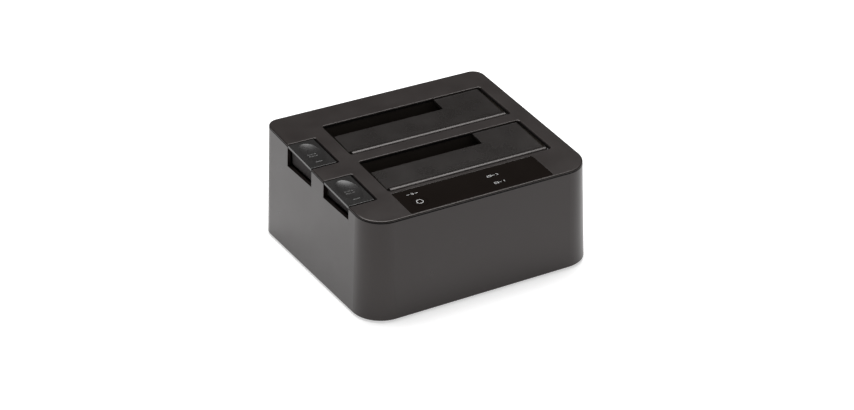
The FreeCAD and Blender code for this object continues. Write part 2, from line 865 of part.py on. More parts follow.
def spring_peg(back):
    """The peg on the bay's outer wall that holds the still leg of the flap spring."""
    pivot_y, pivot_z = flap_pivot(back)
    peg_y = pivot_y - spring_coil_radius - spring_wire_radius - peg_radius - peg_gap
    return rod_x(bay_outer_right - bay_wall / 2, bay_outer_right + peg_reach, peg_y, pivot_z - peg_drop,
                 peg_radius)


def sata_line(back):
    """The y of the connector: a set distance from the drive's rear-facing side."""
    return back - drive_back_play - sata_from_drive_face


def flap_pivot(back):
    y = back - opening_length + barrel_front_gap + barrel_radius
    return y, top_z(y, pivot_depth)


# Flap: plate that falls towards its round hinge barrel, with a slot for slim drives and ribs
def flap(back):
    pivot_y, pivot_z = flap_pivot(back)
    reach = (back + flap_overlap - pivot_y) / math.cos(slope)
    slot_line = (back - slim_slot_depth - pivot_y) / math.cos(slope)
    high = pivot_depth - flap_recess
    low = high - flap_thickness
    plate = box(flap_left, flap_right, 0, reach, low, high)
    slot = box(flap_left - overcut, slim_slot_right, slot_line, reach + overcut, low - overcut, high + overcut)
    plate = plate.cut(slot)
    inner_corner = [e for e in plate.Edges if abs(e.Vertexes[0].X - slim_slot_right) < 0.01
                    and abs(e.Vertexes[0].Y - slot_line) < 0.01 and abs(e.Vertexes[-1].Y - slot_line) < 0.01
                    and abs(e.Vertexes[-1].X - slim_slot_right) < 0.01]
    plate = plate.makeFillet(slim_slot_radius, inner_corner)
    barrel = rod_x(flap_left, flap_right, 0, 0, barrel_radius)
    barrel = barrel.makeFillet(barrel_end_rounding, [e for e in barrel.Edges if e.BoundBox.XLength < 0.01])
    ribs = []
    for index in range(flap_rib_count):
        x = flap_left + (flap_right - flap_left) * (index + 0.5) / flap_rib_count
        plate_end = slot_line if x < slim_slot_right + flap_rib_width else reach - flap_overlap
        ribs.append(box(x - flap_rib_width / 2, x + flap_rib_width / 2, 0, plate_end - flap_rib_setback,
                        low - flap_rib_height, low + flap_thickness / 2))
    plate = plate.fuse(ribs)
    plate.rotate(Vec(0, reach, high), Vec(1, 0, 0), flap_fall_deg)
    body = plate.fuse(barrel).removeSplitter()
    bore = rod_x(flap_left - overcut, flap_right + overcut, 0, 0, hinge_pin_radius + press_clearance)
    body = body.cut(bore)
    body.Placement = FreeCAD.Placement(Vec(0, pivot_y, pivot_z),
                                       FreeCAD.Rotation(Vec(1, 0, 0), top_slope_deg))
    return body


def flap_spring_span():
    """Where the coil starts and ends along the pin, outside the bay's right wall."""
    start = bay_outer_right + spring_start_gap
    return start, start + spring_length


def hinge_pin(back):
    """The flap's pin, split at its right end to hold one leg of the spring."""
    pivot_y, pivot_z = flap_pivot(back)
    coil_end = flap_spring_span()[1]
    end = coil_end + pin_overhang
    pin = rod_x(bay_outer_left + spring_room, end, pivot_y, pivot_z, hinge_pin_radius)
    slot = box(coil_end - 2 * spring_wire_radius, end + overcut, pivot_y - far, pivot_y + far,
               pivot_z - pin_slot_width / 2, pivot_z + pin_slot_width / 2)
    return pin.cut(slot)


def flap_spring(back):
    """Torsion spring: a close coil round the pin, one leg on the peg, one in the pin's slot."""
    pivot_y, pivot_z = flap_pivot(back)
    start, end = flap_spring_span()
    points = []
    for share in (1.0, 0.5):
        points.append(Vec(start, pivot_y - spring_coil_radius, pivot_z - spring_leg_length * share))
    steps = int(10 * spring_coil_turns)
    for index in range(steps + 1):
        turn = math.pi - 2 * math.pi * spring_coil_turns * index / steps
        points.append(Vec(start + (end - start) * index / steps,
                          pivot_y + spring_coil_radius * math.cos(turn),
                          pivot_z + spring_coil_radius * math.sin(turn)))
    points.append(Vec(end, pivot_y - hinge_pin_radius / 2, pivot_z))
    points.append(Vec(end, pivot_y + hinge_pin_radius / 2, pivot_z))
    return tube_along(points, spring_wire_radius, 6)


# Eject button: dished pad, skirt behind the side wall, push stem and guide stem
def eject_button(back):
    low_y, high_y = notch_ends(back)
    y0 = low_y + button_end_gap
    y1 = high_y - button_end_gap
    pad = box(button_left, button_pad_right, y0, y1, notch_sill_z, above_everything).common(under_top(0))
    pad = pad.cut(under_top(button_pad_thickness))
    pad = pad.makeFillet(button_rounding, top_edges(pad)).cut(button_dish((y0 + y1) / 2))
    skirt_z = notch_sill_z + button_skirt_gap_z
    skirt = box(button_skirt_left, button_pad_right, y0, y1, skirt_z, above_everything)
    wall = button_skirt_wall
    skirt = skirt.cut(box(button_skirt_left + wall, button_pad_right - wall, y0 + wall, y1 - wall,
                          0, above_everything))
    push_y = back - push_stem_step
    half = stem_width / 2
    push = box(stem_x - half, stem_x + half, push_y - half, push_y + half,
               push_foot_z + half, above_everything)
    foot = rod_y(push_y - half, push_y + half, stem_x, push_foot_z + half, half)
    guide_y = back - guide_stem_step
    guide = box(stem_x - half, stem_x + half, guide_y - half, guide_y + half,
                guide_stem_foot_z, above_everything)
    collar = post(stem_x, guide_y, spring_seat_z, above_everything, spring_collar_radius)
    inner = joined(skirt, push, guide, collar).common(under_top(button_pad_thickness))
    retainer_y = back - retainer_step
    catch = box(button_pad_right - wall, button_right + retainer_reach, retainer_y - retainer_length / 2,
                retainer_y + retainer_length / 2, skirt_z, above_everything)
    catch = catch.common(under_top(cover_thickness + stem_clearance))
    catch = catch.cut(under_top(cover_thickness + stem_clearance + retainer_thickness))
    return joined(pad, inner, foot, catch)


def button_dish(y):
    """An ellipsoid above the pad whose lower cap scoops out the finger dish."""
    lift = dish_roundness - dish_depth
    scale = math.sqrt(1 - (lift / dish_roundness) ** 2)
    ball = Part.makeSphere(1.0)
    stretch = FreeCAD.Matrix()
    stretch.scale(dish_half_width / scale, dish_half_length / scale, dish_roundness)
    ball = ball.transformGeometry(stretch)
    ball.translate(Vec((button_left + button_pad_right) / 2, along(y), lift))
    ball.Placement = top_frame.multiply(ball.Placement)
    return ball


def button_spring(back):
    """Compression spring round the guide stem, with closed ends, from shelf to collar."""
    guide_y = back - guide_stem_step
    low = shelf_top_z + button_spring_wire_radius
    high = spring_seat_z - button_spring_wire_radius
    turns = button_spring_turns
    shut = button_spring_closed_turns
    closed_pitch = 2.1 * button_spring_wire_radius
    rise = high - low - 2 * shut * closed_pitch
    points = []
    steps = int(10 * turns)
    for index in range(steps + 1):
        turn = turns * index / steps
        active = min(max((turn - shut) / (turns - 2 * shut), 0.0), 1.0)
        closed = closed_pitch * (min(turn, shut) + max(turn - turns + shut, 0.0))
        angle = 2 * math.pi * turn
        points.append(Vec(stem_x + button_spring_radius * math.cos(angle),
                          guide_y + button_spring_radius * math.sin(angle), low + closed + rise * active))
    return tube_along(points, button_spring_wire_radius, 6)


# Eject bracket: a shelf on three legs that guides the stems and carries the lever
def eject_bracket(back):
    y_front = back - bracket_front_step
    lever_high = back - lever_back_step + lever_side_gap
    lever_low = back - lever_back_step - lever_width - lever_side_gap
    y_back = lever_high + bracket_leg
    shelf_low = shelf_top_z - shelf_thickness
    shelf = box(bracket_left, bracket_right, y_front, y_back, shelf_low, shelf_top_z)
    legs = []
    for y in (y_front, lever_low - bracket_leg, lever_high):
        legs.append(box(bracket_left, bracket_right, y, y + bracket_leg, bracket_foot_z, shelf_top_z))
    feet = []
    for y in (y_back, y_front + bracket_leg):
        feet.append(box(bracket_left + bracket_foot_inset, bracket_right - bracket_foot_inset,
                        y - bracket_leg, y + bracket_foot_length, bracket_foot_z, bracket_foot_z + bracket_leg))
    bracket = joined(shelf, *(legs + feet))
    half = stem_width / 2 + stem_clearance
    for step in (push_stem_step, guide_stem_step):
        y = back - step
        bracket = bracket.cut(box(stem_x - half, stem_x + half, y - half, y + half,
                                  shelf_low - overcut, shelf_top_z + overcut))
    bracket = bracket.cut(rod_y(lever_low - bracket_leg - overcut, y_back + overcut, lever_pivot_x,
                                lever_pivot_z, lever_pin_radius + press_clearance))
    for x, y in bracket_screw_points():
        bracket = bracket.cut(post(x, y, 0, bracket_foot_z + 2 * bracket_leg,
                                   small_screw_radius + screw_hole_play))
    return bracket


def eject_lever(back):
    """A cranked lever: the stem pushes its left arm down, its right finger lifts the drive."""
    high = back - lever_back_step
    low = high - lever_width
    finger_top = bay_floor_top_z - finger_top_below_floor - lever_pivot_z
    finger_low = finger_top - finger_thickness
    left = stem_x - lever_pivot_x - lever_arm_overrun
    arm_low = lever_arm_top - lever_arm_thickness
    profile = [(left, arm_low), (left, lever_arm_top), (0, lever_arm_top), (finger_root, finger_top),
               (finger_reach - finger_bevel, finger_top), (finger_reach, finger_top - finger_bevel),
               (finger_reach, finger_low), (finger_root, finger_low), (-lever_arm_root, arm_low)]
    points = [Vec(lever_pivot_x + x, low, lever_pivot_z + z) for x, z in profile + profile[:1]]
    body = Part.Face(Part.makePolygon(points)).extrude(Vec(0, lever_width, 0))
    body = joined(body, rod_y(low, high, lever_pivot_x, lever_pivot_z, lever_boss_radius))
    pocket_high = high - lever_rim
    pocket = box(lever_pivot_x + left + lever_pad_length, lever_pivot_x - lever_boss_radius - lever_pocket_gap,
                 pocket_high - lever_pocket_width, pocket_high, 0, lever_pivot_z + 2 * lever_arm_top)
    bore = rod_y(low - overcut, high + overcut, lever_pivot_x, lever_pivot_z,
                 lever_pin_radius + running_clearance)
    return body.cut(pocket).cut(bore)


def lever_pin(back):
    high = back - lever_back_step + lever_side_gap + bracket_leg
    low = back - lever_back_step - lever_width - lever_side_gap - bracket_leg
    return rod_y(low - lever_pin_end, high + lever_pin_end, lever_pivot_x, lever_pivot_z, lever_pin_radius)


# Main board and the parts that stand on it
def main_board():
    board = rounded_box(board_left, board_right, board_front, board_back, board_underside_z, board_z,
                        board_corner_radius)
    for x, y in board_screw_points():
        board = board.cut(post(x, y, 0, far, small_screw_radius + screw_hole_play))
    return board


def sata_slot_spans():
    """Where the signal slot and the power slot start and end along the connector."""
    start = sata_x - (signal_slot + sata_key_wall + power_slot) / 2
    power_start = start + signal_slot + sata_key_wall
    return (start, start + signal_slot), (power_start, power_start + power_slot)


def sata_slots(back):
    """The two tongue slots of the combined data and power connector, with their keys."""
    y = sata_line(back)
    half = sata_slot_width / 2
    bottom = sata_top_z - sata_slot_depth
    above = sata_top_z + overcut
    slots = []
    for x0, x1 in sata_slot_spans():
        slots.append(box(x0, x1, y - half, y + half, bottom, above))
        slots.append(box(x1 - sata_key_width, x1, y - half - sata_key_depth, y, bottom, above))
    return slots


def sata_socket(back):
    y = sata_line(back)
    body = box(sata_x - sata_length / 2, sata_x + sata_length / 2, y - sata_width / 2,
               y + sata_width / 2, board_z, sata_top_z)
    rim = [e for e in body.Edges if e.BoundBox.ZMin > sata_top_z - 0.01]
    body = body.makeChamfer(sata_bevel, rim)
    for slot in sata_slots(back):
        body = body.cut(slot)
    return body


def sata_contacts(back):
    y = sata_line(back) + sata_slot_width / 2
    low = sata_top_z - sata_slot_depth + contact_lift
    strips = []
    for (start, _), count in zip(sata_slot_spans(), (signal_contacts, power_contacts)):
        for index in range(count):
            x = start + contact_margin + index * contact_pitch
            strips.append(box(x, x + contact_width, y - contact_thickness, y, low,
                              sata_top_z - contact_tip_depth))
    return Part.makeCompound(strips)


def back_wall_y(z):
    return top_depth / 2 + (draft_datum_z - z) * math.tan(math.radians(side_draft_deg))


def usb_mouth_half_widths():
    lower = usb_width / 2 - usb_side_wall
    return lower, lower - usb_step_width


def usb_mouth_heights():
    """Heights of the mouth's bottom, its step and its roof."""
    roof = board_z + usb_height - usb_roof
    return board_z + usb_roof, roof - usb_step_height, roof


def usb_mouth(y0, y1):
    """The stepped mouth of the data socket: a wide lower part and a narrow upper part."""
    wide, narrow = usb_mouth_half_widths()
    bottom, step, roof = usb_mouth_heights()
    return joined(box(usb_x - wide, usb_x + wide, y0, y1, bottom, step),
                  box(usb_x - narrow, usb_x + narrow, y0, y1, bottom, roof))


def usb_front_y():
    return back_wall_y(board_z + usb_height) - socket_recess


def usb_socket():
    front = usb_front_y()
    body = box(usb_x - usb_width / 2, usb_x + usb_width / 2, front - usb_depth, front,
               board_z, board_z + usb_height)
    return body.cut(usb_mouth(front - usb_depth + usb_back_wall, front + overcut))


def usb_insulator():
    front = usb_front_y()
    back_end = front - usb_depth + usb_back_wall
    tip = front - usb_tongue_inset
    wide, narrow = usb_mouth_half_widths()
    bottom, step, roof = usb_mouth_heights()
    half = wide - usb_tongue_side
    lower = box(usb_x - half, usb_x + half, back_end, tip, bottom + usb_tongue_gap, step - usb_tongue_gap)
    half = narrow - usb_upper_tongue_gap
    upper = box(usb_x - half, usb_x + half, back_end, tip, step + usb_upper_tongue_gap,
                roof - usb_upper_tongue_gap)
    return joined(usb_mouth(back_end, back_end + usb_plug_depth), lower, upper)


def dc_jack_front_y():
    return back_wall_y(board_z + jack_height) - socket_recess


def dc_jack_centre_z():
    return board_z + jack_height / 2 + jack_bore_lift


def dc_jack():
    front = dc_jack_front_y()
    body = box(jack_x - jack_width / 2, jack_x + jack_width / 2, front - jack_depth, front,
               board_z, board_z + jack_height)
    upper = [e for e in body.Edges if e.BoundBox.YLength > jack_depth / 2 and e.BoundBox.ZMin > board_z + 0.01]
    body = body.makeFillet(jack_corner_radius, upper)
    return body.cut(rod_y(front - jack_bore_depth, front + overcut, jack_x, dc_jack_centre_z(),
                          jack_bore_radius))


def dc_jack_pin():
    front = dc_jack_front_y() - jack_pin_recess
    pin = rod_y(dc_jack_front_y() - jack_bore_depth, front, jack_x, dc_jack_centre_z(), jack_pin_radius)
    return pin.makeFillet(jack_pin_rounding, [e for e in pin.Edges if e.BoundBox.YMin > front - 0.01])


def chip(x, width, depth, height):
    """A flat packaged chip on the strip of board in front of the bays."""
    y = board_front + chip_front_step
    return box(x - width / 2, x + width / 2, y - depth / 2, y + depth / 2, board_z, board_z + height)


def bridge_chip():
    return chip(header_x - bridge_chip_step, bridge_chip_size, bridge_chip_size, bridge_chip_height)


def flash_chip():
    return chip(header_x - flash_chip_step, flash_chip_width, flash_chip_depth, flash_chip_height)


def power_inductor():
    x = board_left + inductor_step
    y = board_back - power_row_step
    half = inductor_size / 2
    return rounded_box(x - half, x + half, y - half, y + half, board_z, board_z + inductor_height,
                       inductor_rounding)


def capacitors():
    cans = []
    y = board_back - power_row_step
    half = capacitor_base_size / 2
    top = board_z + capacitor_base_height
    for index in range(capacitor_count):
        x = board_left + capacitor_step + index * capacitor_pitch
        base = box(x - half, x + half, y - half, y + half, board_z, top)
        cans.append(joined(base, post(x, y, top, board_z + capacitor_height, capacitor_radius)))
    return Part.makeCompound(cans)


# Control panel: lens, power button, switch, lights and ribbon cable
def control_lens():
    lens = top_block(lens_left + lens_gap, lens_right - lens_gap, lens_front + lens_gap,
                     lens_back - lens_gap, lens_sink, lens_recess, lens_corner_radius - lens_gap)
    return lens.cut(top_rod(power_x, power_y, -overcut, lens_recess + overcut,
                            power_cap_radius + power_cap_gap))


def power_stack_depths():
    """Depths under the top of the button's flange, its stem's end and the switch's top."""
    flange_high = cover_thickness + power_cap_gap
    switch_top = panel_board_depth - switch_height
    return flange_high, switch_top - plunger_rise, switch_top


def power_button():
    flange_high, stem_end, _ = power_stack_depths()
    cap = top_rod(power_x, power_y, lens_sink, flange_high, power_cap_radius)
    flange = top_rod(power_x, power_y, flange_high, flange_high + power_flange_thickness,
                     power_cap_radius + power_flange_step)
    stem = top_rod(power_x, power_y, flange_high, stem_end, plunger_radius)
    return joined(cap, flange, stem)


def switch_plunger():
    _, stem_end, switch_top = power_stack_depths()
    return top_rod(power_x, power_y, stem_end, switch_top + plunger_insert, plunger_radius)


def power_switch():
    _, _, switch_top = power_stack_depths()
    half = switch_size / 2
    body = top_block(power_x - half, power_x + half, power_y - half, power_y + half,
                     switch_top, panel_board_depth)
    return body.cut(top_rod(power_x, power_y, switch_top - overcut,
                            switch_top + plunger_insert + 2 * power_travel, plunger_radius + power_cap_gap))


def indicator_board():
    board = top_block(panel_board_left, panel_board_right, panel_board_front, panel_board_back,
                      panel_board_depth, panel_board_depth + panel_board_thickness)
    for x, y in panel_screw_points:
        board = board.cut(top_rod(x, y, 0, 2 * panel_board_depth, small_screw_radius + screw_hole_play))
    return board


def indicator_leds():
    leds = []
    for x, y in light_points:
        leds.append(top_block(x - led_width / 2, x + led_width / 2, y - led_depth / 2, y + led_depth / 2,
                              panel_board_depth - led_height, panel_board_depth))
    return Part.makeCompound(leds)


def light_guide():
    """Three clear posts under the lens, joined by a bar so that they fit as one piece."""
    post_end = panel_board_depth - led_height - light_end_gap
    posts = [top_rod(x, y, lens_recess + lens_gap, post_end, light_radius) for x, y in light_points]
    left_x, bar_y = light_points[0]
    half = light_bar_width / 2
    bar_end = light_bar_depth + light_bar_width
    bar = top_block(left_x, drive_light_x, bar_y - half, bar_y + half, light_bar_depth, bar_end)
    cross = top_block(drive_light_x - half, drive_light_x + half, light_points[2][1], light_points[1][1],
                      light_bar_depth, bar_end)
    return joined(bar, cross, *posts)


def header_places():
    """Centre y and mouth height of the two ribbon headers, lower one first."""
    lower_y = board_front + header_from_board_front
    upper_y = panel_board_front + header_from_panel_front
    board_face = panel_board_depth + panel_board_thickness
    return lower_y, board_z + header_height, upper_y, top_z(upper_y, board_face) - header_drop


def cable_headers():
    lower_y, lower_z, upper_y, upper_z = header_places()
    half_x = ribbon_width / 2 + header_rim
    half_y = header_depth / 2
    lower = box(header_x - half_x, header_x + half_x, lower_y - half_y, lower_y + half_y, board_z, lower_z)
    upper = box(header_x - half_x, header_x + half_x, upper_y - half_y, upper_y + half_y, upper_z,
                above_everything)
    upper = upper.common(under_top(panel_board_depth + panel_board_thickness))
    return Part.makeCompound([lower, upper])


def panel_ribbon():
    """A flat ribbon from header to header: straight runs joined by two tangent arcs."""
    lower_y, lower_z, upper_y, upper_z = header_places()
    rise = upper_z - lower_z
    corners = [Vec(header_x, lower_y, lower_z), Vec(header_x, lower_y, lower_z + rise / 3),
               Vec(header_x, upper_y, upper_z - rise / 3), Vec(header_x, upper_y, upper_z)]
    edges = []
    start = corners[0]
    for before, corner, after in zip(corners, corners[1:], corners[2:]):
        into = (corner - before)
        out = (after - corner)
        cut = ribbon_bend_share * min(into.Length, out.Length)
        turn = into.getAngle(out)
        radius = cut / math.tan(turn / 2)
        first = corner - into.normalize() * cut
        last = corner + out.normalize() * cut
        bisector = (last + first) * 0.5 - corner
        middle = corner + bisector.normalize() * (radius / math.cos(turn / 2) - radius)
        edges.append(Part.makeLine(start, first))
        edges.append(Part.Arc(first, middle, last).toShape())
        start = last
    edges.append(Part.makeLine(start, corners[-1]))
    x0 = header_x - ribbon_width / 2
    y0 = lower_y - ribbon_thickness / 2
    section = [Vec(x0, y0, lower_z), Vec(x0 + ribbon_width, y0, lower_z),
               Vec(x0 + ribbon_width, y0 + ribbon_thickness, lower_z),
               Vec(x0, y0 + ribbon_thickness, lower_z), Vec(x0, y0, lower_z)]
    return Part.Wire(edges).makePipeShell([Part.makePolygon(section)], True, False)


# Screws, each group in one node
def case_screws():
    return Part.makeCompound([pan_screw(x, y, case_screw_seat_z, case_screw_radius, case_screw_length)
                              for x, y in case_post_points()])


def cover_screws():
    length = cover_lug_thickness + small_screw_bite
    return Part.makeCompound([pan_screw(x, y, cover_lug_top_z(y) - cover_lug_thickness, small_screw_radius,
                                        length)
                              for x, y in cover_lug_points()])


def bay_screws():
    length = tab_thickness + small_screw_bite
    return Part.makeCompound([pan_screw(x, y, top - tab_thickness, small_screw_radius, length)
                              for x, y, top in tab_points()])


def board_screws():
    length = board_z - floor_z + floor_screw_bite
    return Part.makeCompound([pan_screw(x, y, board_z, small_screw_radius, length, False)
                              for x, y in board_screw_points()])


def bracket_screws():
    seat = bracket_foot_z + bracket_leg
    length = seat - floor_z + floor_screw_bite
    return Part.makeCompound([pan_screw(x, y, seat, small_screw_radius, length, False)
                              for x, y in bracket_screw_points()])


def panel_screws():
    screws = []
    under = panel_board_depth + panel_board_thickness
    for x, y in panel_screw_points:
        screw = pan_screw(x, along(y), -under, small_screw_radius, panel_board_thickness + small_screw_bite)
        screw.Placement = top_frame
        screws.append(screw)
    return Part.makeCompound(screws)


def build():
    """Every named piece with its solids."""
    pieces = {
        "housing": housing(), "top_cover": top_cover(), "bottom_cover": bottom_cover(),
        "rubber_feet": rubber_feet(), "main_board": main_board(), "usb_socket": usb_socket(),
        "usb_insulator": usb_insulator(), "dc_jack": dc_jack(), "dc_jack_pin": dc_jack_pin(),
        "bridge_chip": bridge_chip(), "flash_chip": flash_chip(), "power_inductor": power_inductor(),
        "capacitors": capacitors(), "control_lens": control_lens(), "power_button": power_button(),
        "switch_plunger": switch_plunger(), "power_switch": power_switch(),
        "indicator_board": indicator_board(), "indicator_leds": indicator_leds(),
        "light_guide": light_guide(), "cable_headers": cable_headers(), "panel_ribbon": panel_ribbon(),
        "case_screws": case_screws(), "cover_screws": cover_screws(), "bay_screws": bay_screws(),
        "board_screws": board_screws(), "bracket_screws": bracket_screws(), "panel_screws": panel_screws(),
    }
    makers = {
        "drive_bay": drive_bay, "flap": flap, "hinge_pin": hinge_pin, "flap_spring": flap_spring,
        "eject_button": eject_button, "button_spring": button_spring, "eject_bracket": eject_bracket,
        "eject_lever": eject_lever, "lever_pin": lever_pin, "sata_socket": sata_socket,
        "sata_contacts": sata_contacts,
    }
    for place, back in bay_backs.items():
        for name, make in makers.items():
            pieces[place + "_" + name] = make(back)
    return pieces


os.makedirs("parts", exist_ok=True)
for name, shape in build().items():
    shape.exportStep("parts/" + name + ".step")
    print(name, len(shape.Solids), round(shape.Volume, 1), shape.isValid())
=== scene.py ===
"""Looks of a two-bay hard drive docking station, built around its packed construction.

The construction frame gives every rigid piece at its real size and place. This script adds the
finishes, painted shade in the seams, the printed marks of the control panel, the raised marks of the
eject buttons and copies of the springs that stand in for the frame's own. It sets up a pale studio
with a camera at the photograph's viewing angle. Lengths are in metres.
"""

from __future__ import annotations

import json
import logging
import math
from dataclasses import dataclass, field
from enum import Enum

import bpy
import numpy as np
from mathutils import Matrix, Vector

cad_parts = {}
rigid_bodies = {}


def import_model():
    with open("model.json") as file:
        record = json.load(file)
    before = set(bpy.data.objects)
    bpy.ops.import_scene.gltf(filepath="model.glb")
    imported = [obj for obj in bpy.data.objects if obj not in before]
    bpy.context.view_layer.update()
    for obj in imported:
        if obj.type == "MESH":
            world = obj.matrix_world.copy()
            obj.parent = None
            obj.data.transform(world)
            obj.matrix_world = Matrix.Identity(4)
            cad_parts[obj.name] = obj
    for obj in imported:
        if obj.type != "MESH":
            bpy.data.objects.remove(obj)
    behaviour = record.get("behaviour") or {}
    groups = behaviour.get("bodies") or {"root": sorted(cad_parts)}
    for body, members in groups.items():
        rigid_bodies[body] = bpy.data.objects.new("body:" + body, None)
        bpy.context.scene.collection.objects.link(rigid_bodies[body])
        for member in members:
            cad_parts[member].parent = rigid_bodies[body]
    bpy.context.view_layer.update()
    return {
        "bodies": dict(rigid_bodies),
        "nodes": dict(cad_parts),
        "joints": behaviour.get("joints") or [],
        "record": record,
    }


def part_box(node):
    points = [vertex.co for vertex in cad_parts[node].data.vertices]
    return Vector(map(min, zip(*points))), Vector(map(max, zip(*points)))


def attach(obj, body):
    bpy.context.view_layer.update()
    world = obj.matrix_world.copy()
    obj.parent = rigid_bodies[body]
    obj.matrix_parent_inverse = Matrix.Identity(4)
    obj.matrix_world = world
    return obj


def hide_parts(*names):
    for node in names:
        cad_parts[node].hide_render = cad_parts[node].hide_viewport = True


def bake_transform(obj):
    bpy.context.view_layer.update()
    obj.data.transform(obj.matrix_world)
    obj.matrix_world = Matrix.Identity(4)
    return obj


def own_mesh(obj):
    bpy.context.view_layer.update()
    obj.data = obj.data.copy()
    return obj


LOG = logging.getLogger("docking_station")
MM = 0.001

Colour = tuple[float, float, float]
WHITE: Colour = (1.0, 1.0, 1.0)

# A noise is spread over its range of values from this span, and held beyond it
NOISE_SPAN = (0.25, 0.75)
# A tint runs from dark to light over this span of its mask
TINT_SPAN = (0.3, 0.7)
# What the small cells add to the height of the moulded grain
CELL_SHARE = 0.45
# How the noise of drawing marks is scaled along each axis, so that they run long along X
STREAK_SCALE = (0.12, 1.0, 1.0)
# Between these depths under the top its rounded edges take their own gloss
EDGE_DEPTHS = (0.03 * MM, 0.12 * MM)
# The least cosine between a stroke's normal and its mitre, which keeps sharp corners short
MITRE_LIMIT = 0.5


class Symbol(Enum):
    """The marks that are printed on the control panel."""

    ONE = "1"
    TWO = "2"
    DASH = "dash"
    POWER = "power"
    DRIVE = "drive"


# Shared effects


def group_socket(tree: bpy.types.NodeTree, name: str, direction: str, kind: str,
                 value: float = 0.0) -> None:
    """Adds a named socket to a node group.

    Args:
        tree: The group's node tree.
        name: The socket's name.
        direction: "INPUT" or "OUTPUT".
        kind: The socket's type.
        value: The default of an input.
    """
    socket = tree.interface.new_socket(name=name, in_out=direction, socket_type=kind)
    if direction == "INPUT" and kind == "NodeSocketFloat":
        socket.default_value = value


def moulded_grain_group() -> bpy.types.NodeTree:
    """The spark-eroded grain of moulded plastic, as heights and as a slow mottle.

    Returns:
        A group with inputs Size and Mottle Size, and outputs Height and Mottle. Height is fine noise
        broken up by small cells. Mottle is a slow noise from 0 to 1.
    """
    tree = bpy.data.node_groups.new("moulded_grain", "ShaderNodeTree")
    group_socket(tree, "Size", "INPUT", "NodeSocketFloat", 2600.0)
    group_socket(tree, "Mottle Size", "INPUT", "NodeSocketFloat", 60.0)
    group_socket(tree, "Height", "OUTPUT", "NodeSocketFloat")
    group_socket(tree, "Mottle", "OUTPUT", "NodeSocketFloat")
    new, link = tree.nodes.new, tree.links.new
    given, out = new("NodeGroupInput"), new("NodeGroupOutput")
    place = new("ShaderNodeTexCoord")
    fine = new("ShaderNodeTexNoise")
    fine.inputs["Detail"].default_value = 3.0
    fine.inputs["Roughness"].default_value = 0.65
    cells = new("ShaderNodeTexVoronoi")
    slow = new("ShaderNodeTexNoise")
    slow.inputs["Detail"].default_value = 2.0
    mix = new("ShaderNodeMath")
    mix.operation = "MULTIPLY_ADD"
    mix.inputs[1].default_value = CELL_SHARE
    for node in (fine, cells, slow):
        link(place.outputs["Object"], node.inputs["Vector"])
    link(given.outputs["Size"], fine.inputs["Scale"])
    link(given.outputs["Size"], cells.inputs["Scale"])
    link(given.outputs["Mottle Size"], slow.inputs["Scale"])
    link(cells.outputs["Distance"], mix.inputs[0])
    link(fine.outputs["Fac"], mix.inputs[2])
    link(mix.outputs[0], out.inputs["Height"])
    link(slow.outputs["Fac"], out.inputs["Mottle"])
    return tree


def drawn_metal_group() -> bpy.types.NodeTree:
    """Fine drawing marks of wire, pins and sheet metal.

    Returns:
        A group with an input Size, and outputs Height and Streak. Both come from noise that is
        stretched along X.
    """
    tree = bpy.data.node_groups.new("drawn_metal", "ShaderNodeTree")
    group_socket(tree, "Size", "INPUT", "NodeSocketFloat", 900.0)
    group_socket(tree, "Height", "OUTPUT", "NodeSocketFloat")
    group_socket(tree, "Streak", "OUTPUT", "NodeSocketFloat")
    new, link = tree.nodes.new, tree.links.new
    given, out = new("NodeGroupInput"), new("NodeGroupOutput")
    place, stretch = new("ShaderNodeTexCoord"), new("ShaderNodeMapping")
    stretch.inputs["Scale"].default_value = STREAK_SCALE
    noise = new("ShaderNodeTexNoise")
    noise.inputs["Detail"].default_value = 4.0
    link(place.outputs["Object"], stretch.inputs["Vector"])
    link(stretch.outputs["Vector"], noise.inputs["Vector"])
    link(given.outputs["Size"], noise.inputs["Scale"])
    link(noise.outputs["Fac"], out.inputs["Height"])
    link(noise.outputs["Fac"], out.inputs["Streak"])
    return tree


def depth_group(origin: Vector, normal: Vector) -> bpy.types.NodeTree:
    """How far a place lies under the sloping top.

    Args:
        origin: A point of the top's plane.
        normal: The direction that points out of it.

    Returns:
        A group with an output Depth, in metres.
    """
    tree = bpy.data.node_groups.new("depth_under_top", "ShaderNodeTree")
    group_socket(tree, "Depth", "OUTPUT", "NodeSocketFloat")
    new, link = tree.nodes.new, tree.links.new
    place, out = new("ShaderNodeTexCoord"), new("NodeGroupOutput")
    from_top = new("ShaderNodeVectorMath")
    from_top.operation = "SUBTRACT"
    from_top.inputs[1].default_value = origin
    drop = new("ShaderNodeVectorMath")
    drop.operation = "DOT_PRODUCT"
    drop.inputs[1].default_value = -normal
    link(place.outputs["Object"], from_top.inputs[0])
    link(from_top.outputs["Vector"], drop.inputs[0])
    link(drop.outputs["Value"], out.inputs["Depth"])
    return tree


@dataclass
class Effects:
    """The shared node groups, built once.

    Args:
        depth: How far a place lies under the top.
        grain: The grain of moulded plastic.
        drawn: The drawing marks of metal.
    """

    depth: bpy.types.NodeTree
    grain: bpy.types.NodeTree = field(default_factory=moulded_grain_group)
    drawn: bpy.types.NodeTree = field(default_factory=drawn_metal_group)


# Finishes


def new_material(name: str) -> tuple[bpy.types.Material, bpy.types.Node]:
    """A material with one Principled shader.

    Args:
        name: The material's name.

    Returns:
        The material and its Principled node.
    """
    material = bpy.data.materials.new(name)
    material.use_nodes = True
    return material, material.node_tree.nodes["Principled BSDF"]


def placed_effect(tree: bpy.types.NodeTree, effect: bpy.types.NodeTree) -> bpy.types.Node:
    """A shared effect placed in a material.

    Args:
        tree: The material's node tree.
        effect: The shared node group.

    Returns:
        The node that holds it.
    """
    node = tree.nodes.new("ShaderNodeGroup")
    node.node_tree = effect
    return node


